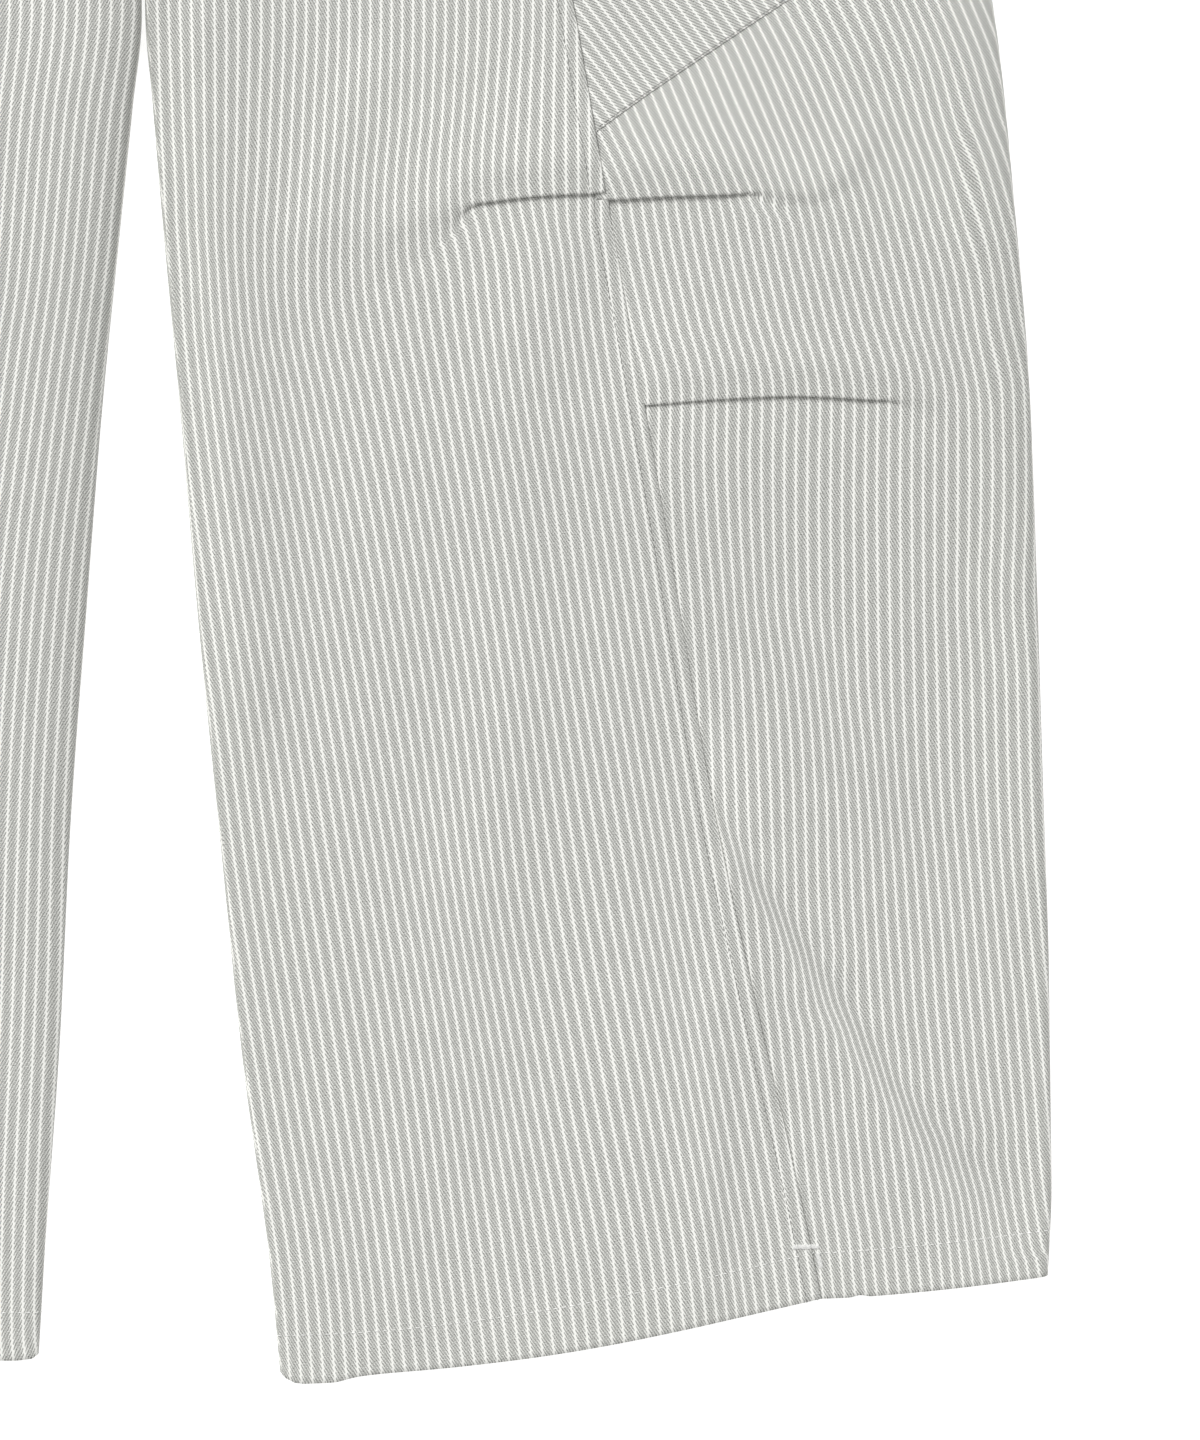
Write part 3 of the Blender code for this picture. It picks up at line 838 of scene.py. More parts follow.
def link(name: str, data: bpy.types.ID) -> bpy.types.Object:
    """Put data into the scene as an object at the origin.

    Args:
        name: The object's name.
        data: Its mesh, light or camera.

    Returns:
        The object.
    """
    made = bpy.data.objects.new(name, data)
    bpy.context.scene.collection.objects.link(made)
    return made


class Cloth:
    """Turns grids into pieces of cloth."""

    @staticmethod
    def piece(name: str, grid: Grid, finish: bpy.types.Material, wall: float) -> bpy.types.Object:
        """Make one piece.

        Args:
            name: The piece's name.
            grid: Its outer side.
            finish: Its material.
            wall: Its thickness.

        Returns:
            The piece, a thin closed shell with its grain in a UV map.
        """
        rows, columns = grid.warp.shape
        mesh = bpy.data.meshes.new(name)
        index = np.arange(rows * columns).reshape(rows, columns)
        corners = np.stack([index[:-1, :-1], index[1:, :-1], index[1:, 1:], index[:-1, 1:]], axis=-1)
        corners = corners.reshape(-1, 4)
        if grid.side is Side.RIGHT:
            corners = corners[:, ::-1]
        mesh.from_pydata(grid.world(grid.points).reshape(-1, 3).tolist(), [], corners.tolist())
        grain = np.stack([grid.warp.ravel(), grid.along.ravel()], axis=-1) * MM
        mesh.uv_layers.new(name="grain").data.foreach_set("uv", grain[corners.ravel()].ravel())
        mesh.materials.append(finish)
        mesh.shade_smooth()
        mesh.update()
        piece = link(name, mesh)
        shell = piece.modifiers.new("cloth thickness", "SOLIDIFY")
        shell.thickness = wall * MM
        shell.offset = -1.0
        shell.use_quality_normals = True
        return piece


@dataclass
class CargoPocket:
    """The patch pocket over the back panel, with its lower edge on the slant."""

    back: Grid
    plan: RowPlan
    corner: float = 427.0
    height: float = 175.0
    slope: float = math.tan(math.radians(33.5))
    grain_slant: float = math.radians(49.0)
    rows: int = 56
    lift: float = 0.5
    roll_shown: int = 7
    seam_columns: int = 3
    lowest_row: float = 444.0   # the pocket lies on the back panel's rows above this one
    even_end: float = 0.022     # its even rows end at this share of its height above the edge
    edge_rows: Row = (2.2, 1.2, 0.6, 0.3, 0.12, 0.0)
    edge_sink: Row = (0.03, 0.1, 0.26)
    rounds: int = 24            # repeats in which a row settles on its slant

    def grid(self, side_columns: int) -> Grid:
        """Grid of the pocket, on the back panel's own columns.

        Args:
            side_columns: Columns of the back panel before its outer fold.

        Returns:
            The pocket's outer side.
        """
        last = side_columns + self.roll_shown
        columns = (self.back.points + self.lift * self.back.outward())[:, self.seam_columns:last]
        above = self.plan.rows < self.lowest_row
        rows, columns = self.plan.rows[above], columns[above]
        start = columns[:, 0, 0]
        lines = []
        edge = np.array(self.edge_rows) / self.height
        for step in np.concatenate([np.linspace(1, self.even_end, self.rows), edge]):
            corner = self.corner - self.height * step
            row = np.full(columns.shape[1], corner)
            for _ in range(self.rounds):
                x = np.array([np.interp(row[c], rows, columns[:, c, 0]) for c in range(len(row))])
                first = np.interp(row[0], rows, start)
                row = 0.5 * row + 0.5 * (corner - self.slope * (x - first))
            lines.append([[np.interp(row[c], rows, columns[:, c, k]) for k in range(3)]
                          for c in range(len(row))])
        points = np.array(lines)
        blank = np.zeros(points.shape[:2])
        return self.edged(Grid(points, blank, blank, self.back.side))

    def edged(self, grid: Grid) -> Grid:
        """Round the lower edge and give the pocket its slanted grain.

        Args:
            grid: The pocket's outer side, before its edge is rounded.

        Returns:
            The finished outer side.
        """
        points = grid.points
        out = grid.outward()
        points[-3:] -= np.array(self.edge_sink)[:, None, None] * out[-3:]
        length = grid.length + points[:, :1, 0]
        sine, cosine = math.sin(self.grain_slant), math.cos(self.grain_slant)
        warp = length * sine - points[..., 1] * cosine
        along = length * cosine + points[..., 1] * sine
        return Grid(points, warp, along, grid.side)


@dataclass
class Waistband:
    """Double band round the waist: two front halves that meet at the fly, and one strip behind."""

    proud: float = 0.8          # how far it stands above the panels
    wall: float = 1.8
    end_gap: float = 0.15
    channel: float = 2.0        # the edge stitching runs this far inside its edges
    lap: float = 0.5            # the left end stands this far over the right one
    front_columns: int = 60
    side_columns: int = 28
    fold_columns: int = 11
    under_columns: int = 40

    @staticmethod
    def rows() -> np.ndarray:
        """Set out the rows of the band.

        Returns:
            Drops of the rows, close along both edges, as a column.
        """
        edge = np.array([0.0, 0.25, 0.7, 1.3, 2.0, 2.7, 3.6])
        middle = np.linspace(5.0, BAND_DEPTH - 5.0, 13)
        return np.concatenate([edge, middle, BAND_DEPTH - edge[::-1]])[:, None]

    @staticmethod
    def spread(count: int) -> np.ndarray:
        """Shares of a length, close at both ends."""
        edge = np.array([0.0, 0.004, 0.012])
        return np.concatenate([edge, np.linspace(0.03, 0.97, count), 1.0 - edge[::-1]])

    def stand(self, rise: np.ndarray) -> np.ndarray:
        """Move heights out to the band's outer side; its underside stays on the surface."""
        return rise + self.proud * np.clip(rise / 3.0, 0.0, 1.0)

    def rounded(self, grid: Grid) -> Grid:
        """Round the edges and press in the stitched channels.

        Args:
            grid: The strip with flat edges.

        Returns:
            The strip's outer side, with its grain.
        """
        row = self.rows()
        edge = np.minimum(row, BAND_DEPTH - row)
        end = np.minimum(grid.length, grid.length[:, -1:] - grid.length)
        sink = 0.6 * (1 - np.clip(edge / 1.3, 0, 1)) ** 2 + 0.45 * (1 - np.clip(end / 1.2, 0, 1)) ** 2
        sink = sink + 0.16 * np.exp(-((edge - self.channel) / 0.7) ** 2)
        slack = 0.15 * np.sin(grid.length / 19.0) * np.sin(row / BAND_DEPTH * math.pi)
        points = grid.points + (slack - sink)[..., None] * grid.outward()
        points[..., 2] = np.maximum(points[..., 2], 0.0)
        across = np.broadcast_to(grid.length.mean(axis=0), grid.length.shape)
        return Grid(points, across, np.broadcast_to(row, across.shape), grid.side)

    def front(self, form: LegForm) -> Grid:
        """Lay out one front half.

        Args:
            form: The leg on its side.

        Returns:
            Its outer side, from the centre line to the side seam.
        """
        row = self.rows()
        start, seam = form.inner.read("edge", row), SECTION.read("seam", row)
        across = start + (seam - self.end_gap - start) * self.spread(self.front_columns)
        rise = self.stand(form.crown(row, across))
        if form.side is Side.LEFT:
            rise = rise + self.lap * at_centre(across)
        points = LegCloth.join([(across, form.drop(row, across, front=True), rise)])
        blank = np.zeros(rise.shape)
        return self.rounded(Grid(points, blank, blank, form.side))

    def half(self, form: LegForm) -> np.ndarray:
        """Lay out half the back strip.

        Args:
            form: The leg on its side.

        Returns:
            Points from the side seam round the fold to the centre behind.
        """
        row = self.rows()
        seam, end = SECTION.read("seam", row) + self.end_gap, form.ends(row)[1]
        reach, tall = SECTION.read("fold_reach", row), SECTION.read("fold_height", row) / 2
        across = seam + (end - seam) * self.spread(self.side_columns)[:-2]
        angle = np.linspace(math.pi / 2, -math.pi / 2, self.fold_columns)
        turn = end + reach * np.cos(angle), tall + tall * np.sin(angle)
        below = end * (1 - np.linspace(0, 1, self.under_columns)[1:])
        return LegCloth.join([
            (across, form.drop(row, across), self.stand(form.crown(row, across))),
            (turn[0], form.drop(row, turn[0]), self.stand(turn[1])),
            (below, form.drop(row, below), np.zeros(below.shape))])

    def back(self, left: LegForm, right: LegForm) -> Grid:
        """Lay out the strip behind.

        Args:
            left: The left leg.
            right: The right leg.

        Returns:
            Its outer side, from side seam to side seam round both folds.
        """
        mirrored = self.half(right)[:, ::-1][:, 1:]
        mirrored = mirrored * np.array([-1.0, 1.0, 1.0])
        points = np.concatenate([self.half(left), mirrored], axis=1)
        blank = np.zeros(points.shape[:2])
        return self.rounded(Grid(points, blank, blank, Side.LEFT))


@dataclass
class WaistButton:
    """Four-hole button with a raised rim, fastened at the end of the waistband."""

    across: float = 15.0
    drop: float = 27.0
    seat: float = 0.6           # clear of the band, on its thread
    hole: float = 0.9
    hole_spread: float = 1.7
    steps: int = 56
    profile: tuple[tuple[float, float], ...] = (
        (0.0, 0.0), (6.4, 0.0), (7.2, 0.25), (7.9, 0.75), (8.35, 1.3), (8.5, 1.8), (8.4, 2.3),
        (8.05, 2.7), (7.5, 2.95), (6.9, 3.0), (6.4, 2.85), (6.0, 2.5), (5.6, 2.2), (5.0, 2.05), (0.0, 2.0))

    def holes(self) -> list[tuple[float, float]]:
        """Centres of the four holes, from the button's own centre."""
        return [(x * self.hole_spread, y * self.hole_spread) for x in (-1, 1) for y in (-1, 1)]

    def build(self, band: Grid, finish: bpy.types.Material) -> bpy.types.Object:
        """Build the button on the band.

        Args:
            band: The band's half that it is sewn through.
            finish: Its material.

        Returns:
            The button.
        """
        place = band.world(band.settle([(self.across, self.drop)], self.seat))[0]
        work = bmesh.new()
        ring = [work.verts.new((r * MM, 0.0, h * MM)) for r, h in self.profile]
        edges = [work.edges.new(pair) for pair in zip(ring, ring[1:])]
        bmesh.ops.spin(work, geom=ring + edges, cent=(0, 0, 0), axis=(0, 0, 1), angle=2 * math.pi,
                       steps=self.steps, use_duplicate=False)
        bmesh.ops.remove_doubles(work, verts=work.verts, dist=0.00002)
        bmesh.ops.recalc_face_normals(work, faces=work.faces)
        body = self.shape("waist_button_blank", work)
        cut = bmesh.new()
        for x, y in self.holes():
            spot = Matrix.Translation((x * MM, y * MM, 1.5 * MM))
            bmesh.ops.create_cone(cut, cap_ends=True, segments=18, radius1=self.hole * MM,
                                  radius2=self.hole * MM, depth=8 * MM, matrix=spot)
        cutter = self.shape("button_holes", cut)
        drilled = body.modifiers.new("holes", "BOOLEAN")
        drilled.object = cutter
        drilled.solver = "EXACT"
        graph = bpy.context.evaluated_depsgraph_get()
        mesh = bpy.data.meshes.new_from_object(body.evaluated_get(graph))
        mesh.transform(Matrix.Translation(place))
        mesh.materials.clear()
        mesh.materials.append(finish)
        mesh.shade_smooth()
        mesh.set_sharp_from_angle(angle=math.radians(35))
        for old in (body, cutter):
            bpy.data.objects.remove(old, do_unlink=True)
        mesh.name = "waist_button_four_hole"
        return link(mesh.name, mesh)

    @staticmethod
    def shape(name: str, work: bmesh.types.BMesh) -> bpy.types.Object:
        """Turn a bmesh into a linked object.

        Args:
            name: The object's name.
            work: The bmesh, which is freed.

        Returns:
            The object.
        """
        mesh = bpy.data.meshes.new(name)
        work.to_mesh(mesh)
        work.free()
        return link(name, mesh)

    def slit(self) -> list[list[tuple[float, float]]]:
        """Set out the buttonhole.

        Returns:
            Lines of its stitches, as (across, drop) places.
        """
        first, last, half = 8.0, 27.5, 1.5
        lines = [[(x, self.drop + gap) for x in np.arange(first, last, 0.5)] for gap in (-half, half)]
        lines.append([(last + 0.4, self.drop + gap) for gap in np.arange(-2.4, 2.5, 0.4)])
        return lines

    def threads(self, band: Grid) -> list[np.ndarray]:
        """Run the threads across the holes and down into the cloth.

        Args:
            band: The band's half that the button is sewn through.

        Returns:
            The threads' lines, in the frame's metres.
        """
        place = band.world(band.settle([(self.across, self.drop)], self.seat))[0]
        lines = []
        for y in (-self.hole_spread, self.hole_spread):
            for shift in (-0.3, 0.0, 0.3):
                span = self.hole_spread
                arc = [(-span, 0.4), (-span, 1.9), (-span * 0.6, 2.35), (0.0, 2.45), (span * 0.6, 2.35),
                       (span, 1.9), (span, 0.4)]
                lines.append(np.array([(x, y + shift, z) for x, z in arc]) * MM + place)
        return lines


class Stitch(Enum):
    """Kinds of sewing: pitch, stitch length, thread radius and turn, in millimetres and degrees."""

    TOPSTITCH = (3.0, 2.5, 0.17, 0.0)
    BLIND = (3.4, 2.3, 0.2, 0.0)
    TACK = (0.48, 2.7, 0.23, 84.0)
    WRAPPED = (0.5, 0.8, 0.2, 0.0)


@dataclass
class NodeTree:
    """Short ways to add nodes to a tree."""

    tree: bpy.types.NodeTree

    def add(self, kind: str, inputs: dict[int | str, object] | None = None,
            **settings: object) -> bpy.types.Node:
        """Add a node.

        Args:
            kind: Its type.
            inputs: Outputs to link or values to set, by the input's name or number.
            settings: Its properties.

        Returns:
            The node.
        """
        node = self.tree.nodes.new(kind)
        for name, value in settings.items():
            setattr(node, name, value)
        for name, value in (inputs or {}).items():
            self.feed(node.inputs[name], value)
        return node

    def feed(self, socket: bpy.types.NodeSocket, value: object) -> None:
        """Link an output to a socket, or set the socket's own value.

        Args:
            socket: The socket.
            value: An output of another node, or a plain value.
        """
        if isinstance(value, bpy.types.NodeSocket):
            self.tree.links.new(value, socket)
        else:
            socket.default_value = value

    def shade(self, name: str, value: object) -> None:
        """Link or set one socket of the material's shader."""
        self.feed(self.tree.nodes["Principled BSDF"].inputs[name], value)

    def math(self, operation: str, *values: object) -> bpy.types.NodeSocket:
        """Add a Math node and return its result."""
        return self.add("ShaderNodeMath", dict(enumerate(values)), operation=operation).outputs[0]

    def plus(self, first: object, second: object) -> bpy.types.NodeSocket:
        """Add two values."""
        return self.math("ADD", first, second)

    def minus(self, first: object, second: object) -> bpy.types.NodeSocket:
        """Take the second value from the first."""
        return self.math("SUBTRACT", first, second)

    def times(self, first: object, second: object) -> bpy.types.NodeSocket:
        """Multiply two values."""
        return self.math("MULTIPLY", first, second)

    def step(self, value: object, low: float, high: float) -> bpy.types.NodeSocket:
        """Ramp smoothly from 0 at low to 1 at high."""
        given = {"Value": value, "From Min": low, "From Max": high}
        return self.add("ShaderNodeMapRange", given, interpolation_type="SMOOTHSTEP").outputs["Result"]

    def mix(self, factor: object, first: object, second: object) -> bpy.types.NodeSocket:
        """Mix two colours and return the result."""
        given = {"Factor": factor, 6: first, 7: second}
        return self.add("ShaderNodeMix", given, data_type="RGBA").outputs[2]

    def noise(self, place: object, scale: float, detail: float = 2.0) -> bpy.types.NodeSocket:
        """Add a noise texture and return its value."""
        given = {"Vector": place, "Scale": scale, "Detail": detail}
        return self.add("ShaderNodeTexNoise", given).outputs["Fac"]

    def vector(self, x: object, y: object, z: object = 0.0) -> bpy.types.NodeSocket:
        """Combine three numbers into a vector."""
        return self.add("ShaderNodeCombineXYZ", {0: x, 1: y, 2: z}).outputs[0]

    def emboss(self, height: object, strength: float, distance: float) -> None:
        """Give the shader a bump, its distance in metres."""
        bump = self.add("ShaderNodeBump", {"Height": height, "Strength": strength, "Distance": distance})
        self.shade("Normal", bump.outputs[0])


def new_finish(name: str) -> tuple[bpy.types.Material, NodeTree]:
    """Start a material.

    Args:
        name: Its name.

    Returns:
        The material and its nodes.
    """
    made = bpy.data.materials.new(name)
    made.use_nodes = True
    return made, NodeTree(made.node_tree)


class Sewing:
    """Lays stitches along lines with one Geometry Nodes tree."""

    def __init__(self) -> None:
        """Build the tree and note its inputs."""
        self.tree = bpy.data.node_groups.new("stitches", "GeometryNodeTree")
        self.inputs: dict[str, str] = {}
        self.build()

    def socket(self, name: str, kind: str) -> None:
        """Add a named input."""
        made = self.tree.interface.new_socket(name, in_out="INPUT", socket_type=kind)
        self.inputs[name] = made.identifier

    def build(self) -> None:
        """Build the tree: resampled lines, an instance at each point, real geometry, one thread."""
        self.socket("Lines", "NodeSocketGeometry")
        for name in ("Pitch", "Stitch length", "Thread radius", "Turn", "Scatter"):
            self.socket(name, "NodeSocketFloat")
        self.socket("Seed", "NodeSocketInt")
        self.socket("Thread", "NodeSocketMaterial")
        self.tree.interface.new_socket("Stitches", in_out="OUTPUT", socket_type="NodeSocketGeometry")
        nodes = NodeTree(self.tree)
        given = nodes.add("NodeGroupInput").outputs
        curve = nodes.add("GeometryNodeMeshToCurve", {"Mesh": given["Lines"]})
        spaced = nodes.add("GeometryNodeResampleCurve",
                           {"Curve": curve.outputs[0], "Length": given["Pitch"]}, mode="LENGTH")
        tangent = nodes.add("GeometryNodeInputTangent").outputs[0]
        along = nodes.add("FunctionNodeAlignRotationToVector", {"Vector": tangent}, axis="X")
        scatter = given["Scatter"]
        wander = nodes.add("FunctionNodeRandomValue",
                           {2: nodes.times(scatter, -1.0), 3: scatter, "Seed": given["Seed"]},
                           data_type="FLOAT")
        turn = nodes.plus(given["Turn"], wander.outputs[1])
        euler = nodes.add("FunctionNodeEulerToRotation", {0: nodes.vector(0.0, 0.0, turn)})
        turned = nodes.add("FunctionNodeRotateRotation",
                           {0: along.outputs[0], 1: euler.outputs[0]}, rotation_space="LOCAL")
        bead = nodes.add("GeometryNodeMeshUVSphere", {"Segments": 6, "Rings": 4})
        half, radius = nodes.times(given["Stitch length"], 0.5), given["Thread radius"]
        placed = nodes.add("GeometryNodeInstanceOnPoints", {
            "Points": spaced.outputs[0], "Instance": bead.outputs["Mesh"],
            "Rotation": turned.outputs[0], "Scale": nodes.vector(half, radius, radius)})
        real = nodes.add("GeometryNodeRealizeInstances", {0: placed.outputs[0]})
        dressed = nodes.add("GeometryNodeSetMaterial",
                            {"Geometry": real.outputs[0], "Material": given["Thread"]})
        nodes.add("NodeGroupOutput", {0: dressed.outputs[0]})

    def lay(self, name: str, lines: list[np.ndarray], kind: Stitch, thread: bpy.types.Material,
            seed: int) -> bpy.types.Object:
        """Sew along lines.

        Args:
            name: The piece's name.
            lines: Lines of points in the frame's metres.
            kind: The kind of stitch.
            thread: The thread's material.
            seed: Seed of the stitches' small scatter.

        Returns:
            The stitches, as one plain mesh.
        """
        places, edges = [], []
        for line in lines:
            first = len(places)
            places += np.maximum(line, (-9.0, -9.0, THREAD_CLEAR * MM)).tolist()
            edges += [(i, i + 1) for i in range(first, len(places) - 1)]
        mesh = bpy.data.meshes.new(name + "_line")
        mesh.from_pydata(places, edges, [])
        source = link(name + "_line", mesh)
        sewn = source.modifiers.new("stitches", "NODES")
        sewn.node_group = self.tree
        pitch, length, radius, turn = kind.value
        settings = {"Pitch": pitch * MM, "Stitch length": length * MM, "Thread radius": radius * MM,
                    "Turn": math.radians(turn), "Scatter": 0.05, "Seed": seed, "Thread": thread}
        for label, value in settings.items():
            sewn[self.inputs[label]] = value
        graph = bpy.context.evaluated_depsgraph_get()
        made = bpy.data.meshes.new_from_object(source.evaluated_get(graph))
        bpy.data.objects.remove(source, do_unlink=True)
        made.name = name
        made.shade_smooth()
        return link(name, made)


@dataclass(frozen=True)
class StripedTwill:
    """Grey cotton twill with fine white warp stripes, drawn on the piece's own grain."""

    name: str = "striped twill"
    dark: Row = (0.033, 0.034, 0.03)
    light: Row = (0.8, 0.805, 0.765)
    stripe: Row = (0.79, 0.79, 0.755)
    stripe_share: float = 0.3
    soft_edge: float = 0.03
    saw_edge: float = 0.26      # the twill shifts a stripe by this share of its pitch
    bead_edge: float = 0.2      # and swells it by this share
    wale: float = 1.35          # twill lines across the warp
    lift: float = 2.3           # twill lines along the warp

    def material(self) -> bpy.types.Material:
        """Build the finish.

        Returns:
            The material.
        """
        made, nodes = new_finish(self.name)
        grain = nodes.add("ShaderNodeUVMap", uv_map="grain").outputs[0]
        split = nodes.add("ShaderNodeSeparateXYZ", {0: grain})
        warp, along = (nodes.times(split.outputs[axis], 1000.0) for axis in (0, 1))

        def noise(across: float, down: float, scale: float) -> bpy.types.NodeSocket:
            """Make noise stretched across and along the warp."""
            return nodes.noise(nodes.vector(nodes.times(warp, across), nodes.times(along, down)), scale)

        waver = nodes.minus(noise(1.0, 0.25, 0.35), 0.5)
        twill = nodes.minus(nodes.math("DIVIDE", warp, self.wale), nodes.math("DIVIDE", along, self.lift))
        saw = nodes.math("FRACT", nodes.plus(twill, nodes.times(waver, 0.5)))
        wave = nodes.math("ABSOLUTE", nodes.minus(nodes.times(saw, 2.0), 1.0))
        place = nodes.math("DIVIDE", warp, STRIPE_PITCH)
        place = nodes.plus(place, nodes.times(nodes.minus(saw, 0.5), self.saw_edge))
        place = nodes.plus(place, nodes.times(waver, 0.03))
        offset = nodes.math("ABSOLUTE", nodes.minus(nodes.math("FRACT", place), 0.5))
        beaded = nodes.minus(offset, nodes.times(nodes.minus(wave, 0.5), self.bead_edge))
        half = self.stripe_share / 2
        stripe = nodes.step(beaded, half + self.soft_edge, half - self.soft_edge)
        fibre = noise(2.2, 1.1, 1.6)
        shade = nodes.plus(nodes.times(nodes.step(wave, 0.2, 0.8), 0.28),
                           nodes.times(nodes.step(fibre, 0.34, 0.66), 0.46))
        ground = nodes.mix(nodes.plus(shade, 0.13), (*self.dark, 1), (*self.light, 1))
        mottle = nodes.plus(noise(0.9, 0.12, 1.0), noise(0.1, 0.08, 1.0))
        colour = nodes.mix(stripe, ground, (*self.stripe, 1))
        bright = nodes.plus(0.91, nodes.times(mottle, 0.09))
        tone = nodes.add("ShaderNodeHueSaturation", {"Value": bright, "Color": colour})
        nodes.shade("Base Color", tone.outputs[0])
        nodes.shade("Roughness", nodes.plus(0.82, nodes.times(fibre, 0.14)))
        nodes.shade("Specular IOR Level", 0.22)
        nodes.shade("Sheen Weight", 0.06)
        nodes.shade("Sheen Roughness", 0.5)
        height = nodes.plus(nodes.times(wave, 0.6), nodes.times(fibre, 0.5))
        nodes.emboss(nodes.plus(height, nodes.times(stripe, 0.3)), 0.35, 0.0002)
        return made


@dataclass(frozen=True)
class SewingThread:
    """Twisted cotton sewing thread."""

    name: str
    colour: Row
    worn_shade: float = 0.72

    def material(self) -> bpy.types.Material:
        """Build the finish.

        Returns:
            The material.
        """
        made, nodes = new_finish(self.name)
        place = nodes.add("ShaderNodeTexCoord").outputs["Object"]
        twist, worn = nodes.noise(place, 2600.0), nodes.noise(place, 60.0)
        shade = nodes.step(nodes.times(nodes.plus(twist, worn), 0.5), 0.3, 0.7)
        darker = tuple(self.worn_shade * c for c in self.colour)
        nodes.shade("Base Color", nodes.mix(shade, (*darker, 1), (*self.colour, 1)))
        nodes.shade("Roughness", nodes.plus(0.55, nodes.times(twist, 0.2)))
        nodes.emboss(twist, 0.3, 0.0001)
        return made


@dataclass(frozen=True)
class Resin:
    """Pale grey moulded resin with a faint cloudy figure."""

    name: str = "button resin"
    dark: Row = (0.56, 0.55, 0.5)
    light: Row = (0.75, 0.74, 0.69)

    def material(self) -> bpy.types.Material:
        """Build the finish.

        Returns:
            The material.
        """
        made, nodes = new_finish(self.name)
        place = nodes.add("ShaderNodeTexCoord").outputs["Object"]
        cloud = nodes.noise(place, 180.0, 4.0)
        shade = nodes.step(cloud, 0.35, 0.65)
        nodes.shade("Base Color", nodes.mix(shade, (*self.dark, 1), (*self.light, 1)))
        nodes.shade("Roughness", nodes.plus(0.28, nodes.times(cloud, 0.14)))
        nodes.emboss(nodes.noise(place, 900.0), 0.08, 0.0001)
        return made


@dataclass
class Studio:
    """Pale floor, soft light from the waist's side and the camera straight above."""

    centre: tuple[float, float] = (186.7, 672.4)
    roll: float = -0.73
    view_height: float = 600.0
    distance: float = 3000.0
    cloth_height: float = 12.0
    dome: float = 0.6
    key_strength: float = 2.9
    key_softness: float = 30.0
    key_tilt: float = 50.0
    key_turn: float = 26.0
    floor_reach: float = 6.0    # metres
    floor_drop: float = 0.0003

    def build(self) -> None:
        """Build the floor, the lights and the camera."""
        scene = bpy.context.scene
        scene.view_settings.view_transform = "Standard"
        self.floor()
        world = bpy.data.worlds.new("studio")
        world.use_nodes = True
        sky = world.node_tree.nodes["Background"].inputs
        sky["Color"].default_value = (1.0, 1.0, 1.0, 1.0)
        sky["Strength"].default_value = self.dome
        scene.world = world
        lamp = bpy.data.lights.new("soft key", "SUN")
        lamp.angle = math.radians(self.key_softness)
        lamp.energy = self.key_strength
        key = link("soft key", lamp)
        key.rotation_euler = (math.radians(-self.key_tilt), 0.0, math.radians(self.key_turn))
        shot = bpy.data.cameras.new("camera")
        shot.sensor_width = 36.0
        shot.lens = shot.sensor_width * self.distance / self.view_height
        shot.clip_start, shot.clip_end = 0.1, 20.0
        camera = link("camera", shot)
        across, drop = self.centre
        place = (across, LENGTH / 2 - drop, self.distance + self.cloth_height)
        camera.location = tuple(value * MM for value in place)
        camera.rotation_euler = (0.0, 0.0, math.radians(self.roll))
        scene.camera = camera

    def floor(self) -> None:
        """Build the floor."""
        mesh = bpy.data.meshes.new("floor")
        far = self.floor_reach
        corners = [(x * far, y * far, -self.floor_drop) for x, y in ((-1, -1), (1, -1), (1, 1), (-1, 1))]
        mesh.from_pydata(corners, [], [(0, 1, 2, 3)])
        made, nodes = new_finish("pale floor")
        nodes.shade("Base Color", (0.93, 0.93, 0.93, 1.0))
        nodes.shade("Roughness", 0.9)
        nodes.shade("Emission Color", (1.0, 1.0, 1.0, 1.0))
        nodes.shade("Emission Strength", 0.6)
        mesh.materials.append(made)
        link("floor", mesh)


@dataclass(frozen=True)
class Cut:
    """What a piece of cloth was cut to: width, length and area, in metres."""

    width: float
    length: float
    area: float


